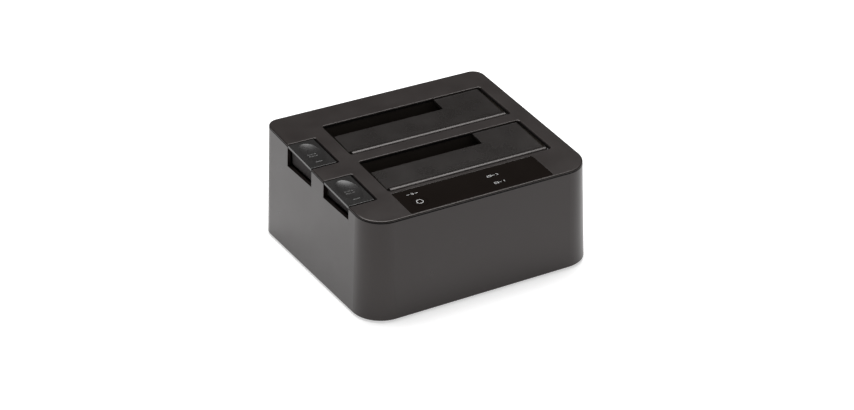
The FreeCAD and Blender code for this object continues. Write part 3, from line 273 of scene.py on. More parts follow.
def ranged(tree: bpy.types.NodeTree, source: bpy.types.NodeSocket, given: tuple[float, float],
           wanted: tuple[float, float]) -> bpy.types.NodeSocket:
    """A value carried over from one range to another, and held at its ends.

    Args:
        tree: The material's node tree.
        source: The value's socket.
        given: The range that it comes from.
        wanted: The range that it goes to.

    Returns:
        The socket that carries the new value.
    """
    spread = tree.nodes.new("ShaderNodeMapRange")
    spread.inputs["From Min"].default_value, spread.inputs["From Max"].default_value = given
    spread.inputs["To Min"].default_value, spread.inputs["To Max"].default_value = wanted
    tree.links.new(source, spread.inputs["Value"])
    return spread.outputs["Result"]


def mapped(tree: bpy.types.NodeTree, noise: bpy.types.NodeSocket, low: float,
           high: float) -> bpy.types.NodeSocket:
    """A noise spread over a range of values.

    Args:
        tree: The material's node tree.
        noise: The noise's socket.
        low: The value where the noise is low.
        high: The value where the noise is high.

    Returns:
        The socket that carries the spread value.
    """
    return ranged(tree, noise, NOISE_SPAN, (low, high))


def calculated(tree: bpy.types.NodeTree, operation: str, first: bpy.types.NodeSocket,
               second: bpy.types.NodeSocket) -> bpy.types.NodeSocket:
    """Two values joined by a product, by taking the greater or the like.

    Args:
        tree: The node tree of a material or the world.
        operation: The math node's operation.
        first: The first value's socket.
        second: The second value's socket.

    Returns:
        The socket that carries the outcome.
    """
    joined = tree.nodes.new("ShaderNodeMath")
    joined.operation = operation
    tree.links.new(first, joined.inputs[0])
    tree.links.new(second, joined.inputs[1])
    return joined.outputs[0]


def tinted(tree: bpy.types.NodeTree, mask: bpy.types.NodeSocket, dark: Colour,
           light: Colour) -> bpy.types.NodeSocket:
    """A colour that runs from dark to light with a mask.

    Args:
        tree: The material's node tree.
        mask: The mask's socket.
        dark: The colour where the mask is low.
        light: The colour where the mask is high.

    Returns:
        The socket that carries the colour.
    """
    ramp = tree.nodes.new("ShaderNodeValToRGB")
    for end, place, colour in zip(ramp.color_ramp.elements, TINT_SPAN, (dark, light)):
        end.position = place
        end.color = (*colour, 1.0)
    tree.links.new(mask, ramp.inputs["Fac"])
    return ramp.outputs["Color"]


def bumped(tree: bpy.types.NodeTree, height: bpy.types.NodeSocket, depth: float) -> bpy.types.NodeSocket:
    """A normal that follows a height.

    Args:
        tree: The material's node tree.
        height: The height's socket.
        depth: The height of a full step, in metres.

    Returns:
        The socket that carries the normal.
    """
    bump = tree.nodes.new("ShaderNodeBump")
    bump.inputs["Strength"].default_value = 1.0
    bump.inputs["Distance"].default_value = depth
    tree.links.new(height, bump.inputs["Height"])
    return bump.outputs["Normal"]


def scaled(colour: Colour, share: float) -> Colour:
    """A colour made darker or lighter by a share."""
    return tuple(min(1.0, channel * share) for channel in colour)


@dataclass(frozen=True)
class PaintedEdgeShade:
    """A painted shade beyond some depth under the top: painted darkness in the gap of a seam, or a
    painted tone on a side that lies in shade.

    Where it is full at a lesser depth than the one where it starts, it lies above them both.

    Args:
        start: The depth at which it starts, in metres.
        full: The depth at which it is full, in metres.
        colour: The linear colour of the painted shade.
        roughness: Its roughness.
    """

    start: float
    full: float
    colour: Colour
    roughness: float


@dataclass(frozen=True)
class MouldedPlastic:
    """Moulded plastic with a fine grain, from matte to gloss.

    Args:
        name: The material's name.
        colour: Its linear colour.
        roughness: Its mean roughness.
        grain_size: How many grains lie on a metre.
        grain_depth: The depth of the grain in metres.
        mottle: How far the colour varies, as a share.
        spread: How far the roughness varies to either side.
        specular: The shader's specular level.
        coat: The weight of a clear polished coat.
        coat_roughness: The roughness of that coat.
        sheen_tint: The colour of its reflections.
        shade: The painted shade beyond some depth under the top, if it has one.
        edge_gloss: The share of the roughness that is left from the top's rounded edges down.
    """

    name: str
    colour: Colour
    roughness: float
    grain_size: float = 2600.0
    grain_depth: float = 0.01 * MM
    mottle: float = 0.08
    spread: float = 0.03
    specular: float = 0.5
    coat: float = 0.0
    coat_roughness: float = 0.04
    sheen_tint: Colour = WHITE
    shade: PaintedEdgeShade | None = None
    edge_gloss: float = 1.0

    def material(self, effects: Effects) -> bpy.types.Material:
        """Builds the material from the shared grain.

        Args:
            effects: The shared node groups.

        Returns:
            The finished material.
        """
        material, shader = new_material(self.name)
        tree = material.node_tree
        grain = placed_effect(tree, effects.grain)
        grain.inputs["Size"].default_value = self.grain_size
        mottle = grain.outputs["Mottle"]
        dark, light = scaled(self.colour, 1 - self.mottle), scaled(self.colour, 1 + self.mottle)
        colour = tinted(tree, mottle, dark, light)
        roughness = mapped(tree, mottle, self.roughness - self.spread, self.roughness + self.spread)
        # painted shade: below a depth under the top the colour is mixed into a painted dark tone
        if self.shade:
            depth = placed_effect(tree, effects.depth).outputs["Depth"]
            colour = self.painted_shade_colour(tree, depth, colour)
            roughness = self.shaded_roughness(tree, depth, roughness)
        tree.links.new(colour, shader.inputs["Base Color"])
        tree.links.new(roughness, shader.inputs["Roughness"])
        tree.links.new(bumped(tree, grain.outputs["Height"], self.grain_depth), shader.inputs["Normal"])
        shader.inputs["Specular IOR Level"].default_value = self.specular
        shader.inputs["Specular Tint"].default_value = (*self.sheen_tint, 1.0)
        shader.inputs["Coat Weight"].default_value = self.coat
        shader.inputs["Coat Roughness"].default_value = self.coat_roughness
        return material

    def painted_shade_colour(self, tree: bpy.types.NodeTree, depth: bpy.types.NodeSocket,
                      colour: bpy.types.NodeSocket) -> bpy.types.NodeSocket:
        """The colour, which turns into the painted shade's colour between the painted shade's two depths.

        Args:
            tree: The material's node tree.
            depth: The socket of the depth under the top.
            colour: The socket of the colour outside the shade.

        Returns:
            The socket that carries the colour.
        """
        mixed = tree.nodes.new("ShaderNodeMix")
        mixed.data_type = "RGBA"
        mixed.inputs["B"].default_value = (*self.shade.colour, 1.0)
        share = ranged(tree, depth, (self.shade.start, self.shade.full), (0.0, 1.0))
        tree.links.new(share, mixed.inputs["Factor"])
        tree.links.new(colour, mixed.inputs["A"])
        return mixed.outputs["Result"]

    def shaded_roughness(self, tree: bpy.types.NodeTree, depth: bpy.types.NodeSocket,
                         roughness: bpy.types.NodeSocket) -> bpy.types.NodeSocket:
        """The roughness: glossier from the top's rounded edges down, and within the painted shade that
        shade's own.

        Args:
            tree: The material's node tree.
            depth: The socket of the depth under the top.
            roughness: The socket of the roughness outside the shade.

        Returns:
            The socket that carries the roughness.
        """
        edge = ranged(tree, depth, EDGE_DEPTHS, (1.0, self.edge_gloss))
        in_painted_shade = ranged(tree, depth, (self.shade.start, self.shade.full), (0.0, self.shade.roughness))
        return calculated(tree, "MAXIMUM", calculated(tree, "MULTIPLY", roughness, edge), in_painted_shade)


@dataclass(frozen=True)
class DrawnMetal:
    """Metal with drawing marks: spring wire, pins, screws, shells and contacts.

    Args:
        name: The material's name.
        colour: Its linear colour.
        roughness: Its mean roughness.
        spread: How far the roughness varies to either side.
        streak_tint: The share of the colour that is left in the darkest streaks.
        streak_depth: The depth of the marks in metres.
    """

    name: str
    colour: Colour
    roughness: float
    spread: float = 0.08
    streak_tint: float = 0.85
    streak_depth: float = 0.004 * MM

    def material(self, effects: Effects) -> bpy.types.Material:
        """Builds the material from the shared drawing marks.

        Args:
            effects: The shared node groups.

        Returns:
            The finished material.
        """
        material, shader = new_material(self.name)
        tree = material.node_tree
        marks = placed_effect(tree, effects.drawn)
        streak = marks.outputs["Streak"]
        shader.inputs["Metallic"].default_value = 1.0
        colour = tinted(tree, streak, scaled(self.colour, self.streak_tint), self.colour)
        roughness = mapped(tree, streak, self.roughness - self.spread, self.roughness + self.spread)
        tree.links.new(colour, shader.inputs["Base Color"])
        tree.links.new(roughness, shader.inputs["Roughness"])
        tree.links.new(bumped(tree, marks.outputs["Height"], self.streak_depth), shader.inputs["Normal"])
        return material


@dataclass(frozen=True)
class CircuitBoard:
    """Solder mask over copper: traces show as slightly raised, lighter lines.

    Args:
        name: The material's name.
        mask_colour: The linear colour of the mask over bare board.
        trace_colour: The linear colour of the mask over copper.
        patch_tint: The share of the mask's colour that is left on the darkest patches.
        trace_pitch: How many pattern units lie on a metre.
        trace_reach: How far a trace reaches into each patch beside it, in pattern units.
        patch_length: From trace to trace along a row of patches, in pattern units.
        patch_width: From row to row of patches, in pattern units.
        copper_height: How far a trace stands up, in metres.
        roughness: The least and the greatest roughness.
    """

    name: str
    mask_colour: Colour
    trace_colour: Colour
    patch_tint: float = 0.9
    trace_pitch: float = 420.0
    trace_reach: float = 0.08
    patch_length: float = 2.4
    patch_width: float = 0.5
    copper_height: float = 0.02 * MM
    roughness: tuple[float, float] = (0.28, 0.36)

    def material(self, effects: Effects) -> bpy.types.Material:
        """Builds the material: brick joints serve as traces.

        Args:
            effects: The shared node groups.

        Returns:
            The finished material.
        """
        material, shader = new_material(self.name)
        tree = material.node_tree
        place = tree.nodes.new("ShaderNodeTexCoord")
        traces = tree.nodes.new("ShaderNodeTexBrick")
        traces.inputs["Scale"].default_value = self.trace_pitch
        traces.inputs["Mortar Size"].default_value = self.trace_reach
        traces.inputs["Brick Width"].default_value = self.patch_length
        traces.inputs["Row Height"].default_value = self.patch_width
        traces.inputs["Color1"].default_value = (*self.mask_colour, 1.0)
        traces.inputs["Color2"].default_value = (*scaled(self.mask_colour, self.patch_tint), 1.0)
        traces.inputs["Mortar"].default_value = (*self.trace_colour, 1.0)
        grain = placed_effect(tree, effects.grain)
        tree.links.new(place.outputs["Object"], traces.inputs["Vector"])
        tree.links.new(traces.outputs["Color"], shader.inputs["Base Color"])
        tree.links.new(bumped(tree, traces.outputs["Fac"], self.copper_height), shader.inputs["Normal"])
        tree.links.new(mapped(tree, grain.outputs["Mottle"], *self.roughness), shader.inputs["Roughness"])
        return material


@dataclass(frozen=True)
class ClearPlastic:
    """Clear or cloudy resin of the light guide and the lights.

    Args:
        name: The material's name.
        colour: Its linear colour.
        roughness: Its least roughness.
        clearness: The weight of its transmission.
        spread: How much rougher its dullest places are.
        refraction: Its index of refraction.
    """

    name: str
    colour: Colour
    roughness: float
    clearness: float
    spread: float = 0.05
    refraction: float = 1.49

    def material(self, effects: Effects) -> bpy.types.Material:
        """Builds the material, with a faint mottle in its gloss.

        Args:
            effects: The shared node groups.

        Returns:
            The finished material.
        """
        material, shader = new_material(self.name)
        tree = material.node_tree
        grain = placed_effect(tree, effects.grain)
        shader.inputs["Base Color"].default_value = (*self.colour, 1.0)
        shader.inputs["Transmission Weight"].default_value = self.clearness
        shader.inputs["IOR"].default_value = self.refraction
        roughness = mapped(tree, grain.outputs["Mottle"], self.roughness, self.roughness + self.spread)
        tree.links.new(roughness, shader.inputs["Roughness"])
        return material


@dataclass(frozen=True)
class PrintedInk:
    """Screen-printed white ink, slightly uneven in its coverage.

    Args:
        name: The material's name.
        thin: How white it is where it lies thin.
        full: How white it is where it lies full.
        speckle: How many speckles lie on a metre.
        roughness: Its roughness.
    """

    name: str = "white_ink"
    thin: float = 0.8
    full: float = 0.92
    speckle: float = 5000.0
    roughness: float = 0.5

    def material(self) -> bpy.types.Material:
        """Builds the material from a fine noise.

        Returns:
            The finished material.
        """
        material, shader = new_material(self.name)
        tree = material.node_tree
        place = tree.nodes.new("ShaderNodeTexCoord")
        noise = tree.nodes.new("ShaderNodeTexNoise")
        noise.inputs["Scale"].default_value = self.speckle
        tree.links.new(place.outputs["Object"], noise.inputs["Vector"])
        tone = tinted(tree, noise.outputs["Fac"], scaled(WHITE, self.thin), scaled(WHITE, self.full))
        tree.links.new(tone, shader.inputs["Base Color"])
        shader.inputs["Roughness"].default_value = self.roughness
        return material


Finish = MouldedPlastic | DrawnMetal | CircuitBoard | ClearPlastic


@dataclass(frozen=True)
class FinishBook:
    """Every finish of the station, by the record's material slot.

    Args:
        finishes: The finishes by slot.
    """

    finishes: dict[str, Finish] = field(default_factory=lambda: {
        "cover_plastic": MouldedPlastic(
            "charcoal_cover", (0.0255, 0.0216, 0.0205), 0.31,
            grain_size=2400, grain_depth=0.008 * MM, mottle=0.06, sheen_tint=(1.0, 0.94, 0.92),
            # painted shade: the cover's rim under its rounded edge, the seam and the openings' walls are
            # darkened
            shade=PaintedEdgeShade(0.6 * MM, 0.75 * MM, (0.004, 0.0035, 0.0035), 0.9), edge_gloss=0.3),
        "flap_plastic": MouldedPlastic(
            "charcoal_flap", (0.0145, 0.0127, 0.0119), 0.28,
            grain_size=3000, grain_depth=0.005 * MM, mottle=0.06, sheen_tint=(1.0, 0.94, 0.92)),
        "button_plastic": MouldedPlastic(
            "satin_button", (0.022, 0.021, 0.0205), 0.25,
            grain_size=3000, grain_depth=0.002 * MM, mottle=0.05,
            # painted shade: the buttons' sides under 1.4 mm take an even rough tone in place of their lit
            # reflections
            shade=PaintedEdgeShade(1.4 * MM, 1.6 * MM, (0.05, 0.0445, 0.0445), 0.9)),
        "housing_plastic": MouldedPlastic(
            "satin_housing", (0.01, 0.0068, 0.006), 0.3,
            grain_size=3400, grain_depth=0.003 * MM, mottle=0.05, sheen_tint=(1.0, 0.94, 0.93),
            # painted shade: the housing's rim just under the seam with the cover is painted near black
            shade=PaintedEdgeShade(1.5 * MM, 1.4 * MM, (0.001, 0.001, 0.001), 0.9)),
        "base_plastic": MouldedPlastic(
            "black_base", (0.02, 0.02, 0.02), 0.6, grain_size=1800, grain_depth=0.02 * MM),
        "inner_plastic": MouldedPlastic(
            "black_inner", (0.09, 0.074, 0.062), 0.55, grain_size=1800, grain_depth=0.012 * MM),
        "lens_gloss": MouldedPlastic(
            "gloss_panel", (0.0075, 0.0052, 0.004), 0.09,
            grain_size=1200, grain_depth=0.0004 * MM, mottle=0.05, coat=0.3),
        "rubber": MouldedPlastic(
            "black_rubber", (0.016, 0.016, 0.016), 0.8,
            grain_size=1500, grain_depth=0.03 * MM, mottle=0.12, specular=0.3),
        "connector_plastic": MouldedPlastic(
            "connector_body", (0.02, 0.02, 0.02), 0.45, grain_size=2400, grain_depth=0.008 * MM),
        "chip_plastic": MouldedPlastic(
            "chip_body", (0.025, 0.025, 0.027), 0.6, grain_size=4200, grain_depth=0.01 * MM),
        "insulator_plastic": MouldedPlastic(
            "blue_insulator", (0.02, 0.09, 0.38), 0.4, grain_size=2400, grain_depth=0.006 * MM),
        "ribbon_film": MouldedPlastic(
            "ribbon_film", (0.6, 0.6, 0.58), 0.35, grain_size=900, grain_depth=0.006 * MM),
        "led_resin": ClearPlastic("cloudy_resin", (0.85, 0.86, 0.82), 0.2, 0.4),
        "clear_plastic": ClearPlastic("clear_guide", (0.95, 0.97, 0.98), 0.05, 0.95),
        "spring_steel": DrawnMetal("spring_wire", (0.55, 0.55, 0.56), 0.3),
        "screw_steel": DrawnMetal("screw_zinc", (0.5, 0.51, 0.53), 0.32),
        "can_metal": DrawnMetal("capacitor_can", (0.72, 0.72, 0.74), 0.3),
        "socket_metal": DrawnMetal("nickel_shell", (0.66, 0.66, 0.66), 0.24),
        "contact_gold": DrawnMetal("gold_contact", (0.83, 0.62, 0.25), 0.25),
        "board": CircuitBoard("green_board", (0.008, 0.06, 0.022), (0.02, 0.13, 0.05)),
    })

    def dress(self, frame: dict, effects: Effects) -> dict[str, bpy.types.Material]:
        """Gives every node of the frame the finish of its slot.

        Args:
            frame: What the frame loader returned.
            effects: The shared node groups.

        Returns:
            The materials by slot.
        """
        made = {slot: finish.material(effects) for slot, finish in self.finishes.items()}
        slots = {part["node"]: part["material_slot"] for part in frame["record"]["subparts"]}
        for name, node in frame["nodes"].items():
            slot = slots[name]
            if not node.data.materials:
                node.data.materials.append(made[slot])
            for index in range(len(node.data.materials)):
                node.data.materials[index] = made[slot]
            node.data.polygons.foreach_set("material_index", np.zeros(len(node.data.polygons), np.int32))
            LOG.info("dressed %s as %s", name, slot)
        return made


# Surfaces


def grid_mesh(name: str, points: np.ndarray, closed_u: bool = False,
              closed_v: bool = False) -> bpy.types.Object:
    """A smooth mesh of quads from a grid of points.

    Args:
        name: The piece's name.
        points: Points in an array of rows by columns by 3, in metres.
        closed_u: Whether the last row joins the first.
        closed_v: Whether the last column joins the first.

    Returns:
        The new object, at the origin.
    """
    rows, columns = points.shape[:2]
    index = np.arange(rows * columns).reshape(rows, columns)
    if closed_u:
        index = np.vstack([index, index[:1]])
    if closed_v:
        index = np.hstack([index, index[:, :1]])
    corners = [index[:-1, :-1], index[1:, :-1], index[1:, 1:], index[:-1, 1:]]
    quads = np.stack(corners, axis=-1).reshape(-1, 4)
    mesh = bpy.data.meshes.new(name)
    mesh.from_pydata(points.reshape(-1, 3).tolist(), [], quads.tolist())
    mesh.polygons.foreach_set("use_smooth", np.ones(len(quads), bool))
    mesh.validate()
    made = bpy.data.objects.new(name, mesh)
    bpy.context.scene.collection.objects.link(made)
    return made


@dataclass(frozen=True)
class SlopedTop:
    """The plane of the sloping top: where marks on it lie.

    Args:
        origin: A point of the plane.
        normal: The direction that points out of it.
    """

    origin: Vector
    normal: Vector

    def place(self, x: np.ndarray, y: np.ndarray, lift: np.ndarray) -> np.ndarray:
        """Points over the plane, given by x and y seen from above and a lift square to it.

        Args:
            x: Places across, in metres.
            y: Places from front to back, in metres.
            lift: Heights square to the plane, in metres.

        Returns:
            An array of points with a last axis of 3.
        """
        slope_x, slope_y, rise = self.normal
        z = self.origin.z - (slope_x * (x - self.origin.x) + slope_y * (y - self.origin.y)) / rise
        base = np.stack([x, y, z], axis=-1)
        return base + np.asarray(lift)[..., None] * np.array(self.normal)


def arc(centre: tuple[float, float], radius: float, start: float, end: float, steps: int) -> np.ndarray:
    """Points along an arc: the centre plus the radius times the cosine and sine of each turn.

    Args:
        centre: Its centre.
        radius: Its radius.
        start: The first turn in degrees.
        end: The last turn in degrees.
        steps: The number of points.

    Returns:
        An array of points by 2.
    """
    turns = np.radians(np.linspace(start, end, steps))
    return np.stack([centre[0] + radius * np.cos(turns), centre[1] + radius * np.sin(turns)], axis=-1)


def symbol_strokes(symbol: Symbol) -> list[tuple[np.ndarray, bool]]:
    """The strokes of a mark about its own centre, in shares of a mark's height.

    Args:
        symbol: Which mark.

    Returns:
        Each stroke's points, and whether it is closed.
    """
    if symbol is Symbol.ONE:
        return [(np.array([(-0.2, 0.28), (0.06, 0.48), (0.06, -0.5)]), False)]
    if symbol is Symbol.TWO:
        bow = arc((0.0, 0.2), 0.28, 165, -40, 14)
        return [(np.vstack([bow, [(-0.3, -0.48), (0.32, -0.48)]]), False)]
    if symbol is Symbol.DASH:
        return [(np.array([(-0.6, 0.0), (0.6, 0.0)]), False)]
    if symbol is Symbol.POWER:
        ring, stem = arc((0.0, -0.06), 0.44, 125, 415, 32), np.array([(0.0, 0.55), (0.0, 0.05)])
        return [(ring, False), (stem, False)]
    body = np.array([(-0.8, -0.45), (0.8, -0.45), (0.8, 0.45), (-0.8, 0.45)])
    return [(body, True), (np.array([(-0.45, 0.0), (0.1, 0.0)]), False)]


def stroke_outline(points: np.ndarray, closed: bool, width: float) -> tuple[np.ndarray, np.ndarray]:
    """The two sides of a stroke: each point moved by half the width along the mean normal.

    Args:
        points: The stroke's points by 2.
        closed: Whether it joins up.
        width: Its width.

    Returns:
        The left and the right side, as points by 2.
    """
    if closed:
        ahead, behind = np.roll(points, -1, axis=0), np.roll(points, 1, axis=0)
    else:
        ahead = np.vstack([points[1:], 2 * points[-1:] - points[-2:-1]])
        behind = np.vstack([2 * points[:1] - points[1:2], points[:-1]])
    into = (points - behind) / np.linalg.norm(points - behind, axis=1, keepdims=True)
    out = (ahead - points) / np.linalg.norm(ahead - points, axis=1, keepdims=True)
    normal_in = np.stack([-into[:, 1], into[:, 0]], axis=-1)
    normal_out = np.stack([-out[:, 1], out[:, 0]], axis=-1)
    mitre = normal_in + normal_out
    mitre /= np.linalg.norm(mitre, axis=1, keepdims=True)
    stretch = 1.0 / np.clip((mitre * normal_in).sum(axis=1, keepdims=True), MITRE_LIMIT, 1.0)
    return points + mitre * stretch * width / 2, points - mitre * stretch * width / 2


@dataclass
class PrintedPanel:
    """White marks printed on the gloss panel: a ring on the power button and small plain marks.

    Args:
        top: The plane of the panel's face.
        ring_outer: Outer radius of the ring.
        ring_line: Width of the ring's line.
        ring_points: How many points it has.
        mark_size: Height of a small mark.
        mark_pitch: The step from mark to mark in a row.
        mark_line: Width of the small marks' lines.
        print_height: How far the ink stands up.
    """

    top: SlopedTop
    ring_outer: float = 1.95 * MM
    ring_line: float = 0.3 * MM
    ring_points: int = 96
    mark_size: float = 1.5 * MM
    mark_pitch: float = 2.5 * MM
    mark_line: float = 0.22 * MM
    print_height: float = 0.02 * MM

    def stroke(self, name: str, points: np.ndarray, closed: bool, width: float) -> bpy.types.Object:
        """A printed stroke: a flat strip with low side walls, carried along its points.

        Args:
            name: The piece's name.
            points: Its points in x and y, in metres.
            closed: Whether it joins up.
            width: Its width in metres.

        Returns:
            The new object.
        """
        left, right = stroke_outline(points, closed, width)
        sides = [(left, 0.0), (left, self.print_height), (right, self.print_height), (right, 0.0)]
        rows = [self.top.place(side[:, 0], side[:, 1], np.full(len(side), lift)) for side, lift in sides]
        return grid_mesh(name, np.stack(rows, axis=1), closed_u=closed, closed_v=True)

    def ring(self, centre: tuple[float, float]) -> bpy.types.Object:
        """The ring on the power button.

        Args:
            centre: The button's centre in x and y.

        Returns:
            The new object.
        """
        middle = self.ring_outer - self.ring_line / 2
        last_turn = 360 * (1 - 1 / self.ring_points)
        points = arc(centre, middle, 0, last_turn, self.ring_points)
        return self.stroke("power_ring_print", points, True, self.ring_line)

    def marks(self, name: str, symbols: list[Symbol],
              centre: tuple[float, float]) -> list[bpy.types.Object]:
        """A short row of marks about a centre.

        Args:
            name: The first part of the pieces' names.
            symbols: The marks from left to right.
            centre: The middle of the row in x and y.

        Returns:
            The new objects.
        """
        made = []
        for place, symbol in enumerate(symbols):
            x = centre[0] + (place - (len(symbols) - 1) / 2) * self.mark_pitch
            for points, closed in symbol_strokes(symbol):
                spread = points * self.mark_size + np.array([x, centre[1]])
                made.append(self.stroke(f"{name}_{len(made) + 1}", spread, closed, self.mark_line))
        return made


@dataclass
class ButtonDish:
    """The dished face of one eject button, with a raised triangle, a bar and a ridge near the front.

    The face is the lower cap of an ellipsoid: its depth at a place is the roundness times the root
    of one minus the sum of the squared shares across and along, less the lift of the ellipsoid's
    centre. That sum is first scaled so that the depth is nought at the rim.

    Args:
        place: The name of the bay, "rear" or "front".
        top: The plane of the pad's face.
        centre: The dish's centre in x and y.
        half_width: Half its width across.
        half_length: Half its length from front to back.
        depth: Its depth in the middle.
        roundness: The ellipsoid's height.
        mark_height: How far the marks stand up.
        mark_edge: The width of their soft edges.
        triangle_base: Where the triangle's base lies, behind the dish's middle.
        triangle_tip: Where its tip lies, behind the dish's middle.
        triangle_half: Half the width of its base.
        bar_place: Where the bar's middle lies, behind the dish's middle.
        bar_half: Half the bar's sizes across and along.
        ridge_place: Where the ridge's middle lies, behind the dish's middle.
        ridge_half: Half the ridge's sizes across and along.
        skin_rim: How far the skin lies over the dish at its rim.
        skin_swell: How much further it lies over it in the middle.
        rings: How many rings of points it has.
        spokes: How many points a ring has.
    """

    place: str
    top: SlopedTop
    centre: tuple[float, float]
    half_width: float = 6.2 * MM
    half_length: float = 11.3 * MM
    depth: float = 1.2 * MM
    roundness: float = 6.0 * MM
    mark_height: float = 0.22 * MM
    mark_edge: float = 0.22 * MM
    triangle_base: float = 0.8 * MM
    triangle_tip: float = 5.8 * MM
    triangle_half: float = 2.6 * MM
    bar_place: float = -0.7 * MM
    bar_half: tuple[float, float] = (2.6 * MM, 0.55 * MM)
    ridge_place: float = -8.0 * MM
    ridge_half: tuple[float, float] = (2.0 * MM, 0.35 * MM)
    skin_rim: float = 0.006 * MM
    skin_swell: float = 0.03 * MM
    rings: int = 96
    spokes: int = 160

    def dish(self, u: np.ndarray, v: np.ndarray) -> np.ndarray:
        """Height of the dish, which is negative under the pad's face.

        Args:
            u: Places across, as shares of half the width.
            v: Places along, as shares of half the length.

        Returns:
            The heights.
        """
        lift = self.roundness - self.depth
        share = 1 - (lift / self.roundness) ** 2
        inside = np.clip(1 - share * (u ** 2 + v ** 2), 0.0, 1.0)
        return lift - self.roundness * np.sqrt(inside)

    def in_bar(self, x: np.ndarray, y: np.ndarray, place: float, half: tuple[float, float]) -> np.ndarray:
        """How far inside a bar each place lies: the lesser of its distances from an end and a side."""
        return np.minimum(half[0] - np.abs(x), half[1] - np.abs(y - place))

    def mark(self, x: np.ndarray, y: np.ndarray) -> np.ndarray:
        """How much of the marks' height a place has, from 0 to 1, with soft edges.

        A place's distance inside a mark is the least of its distances from the mark's sides. The
        greatest of these over the marks, divided by the edge's width and moved up by a half,
        gives the share, which is then rounded off at both ends.

        Args:
            x: Places across the dish, from its middle.
            y: Places along it, from its middle.

        Returns:
            The share of the height.
        """
        height = self.triangle_tip - self.triangle_base
        behind = y - self.triangle_base
        flank = (self.triangle_half - np.abs(x)) * height - self.triangle_half * behind
        triangle = np.minimum(flank / math.hypot(height, self.triangle_half), behind)
        bar = self.in_bar(x, y, self.bar_place, self.bar_half)
        ridge = self.in_bar(x, y, self.ridge_place, self.ridge_half)
        distance = np.maximum(np.maximum(triangle, bar), ridge)
        soft = np.clip(distance / self.mark_edge + 0.5, 0.0, 1.0)
        return soft * soft * (3 - 2 * soft)

    def build(self) -> bpy.types.Object:
        """The dish's skin: rings and spokes over the dish, lifted a little and by the marks.

        Returns:
            The new object.
        """
        rings = np.linspace(0.0, 1.0, self.rings)[:, None]
        turns = np.linspace(0, 2 * math.pi, self.spokes, endpoint=False)[None, :]
        u, v = rings * np.cos(turns), rings * np.sin(turns)
        x, y = u * self.half_width, v * self.half_length
        skin = self.skin_swell * (1 - rings ** 4) + self.skin_rim
        lift = self.dish(u, v) + self.mark_height * self.mark(x, y) + skin
        points = self.top.place(self.centre[0] + x, self.centre[1] + y, lift)
        made = grid_mesh(f"{self.place}_button_dish", points, closed_v=True)
        LOG.info("dish of %s: %d points", made.name, len(made.data.vertices))
        return made


# Stage


def seen_rays(tree: bpy.types.NodeTree) -> bpy.types.NodeSocket:
    """Whether a ray carries something seen: directly, in a reflection or through clear plastic.

    Args:
        tree: The node tree of a world or a material.

    Returns:
        The socket with 1 for camera, glossy and transmission rays, and 0 otherwise.
    """
    path = tree.nodes.new("ShaderNodeLightPath")
    total = path.outputs["Is Camera Ray"]
    for kind in ("Is Glossy Ray", "Is Transmission Ray"):
        total = calculated(tree, "MAXIMUM", total, path.outputs[kind])
    return total


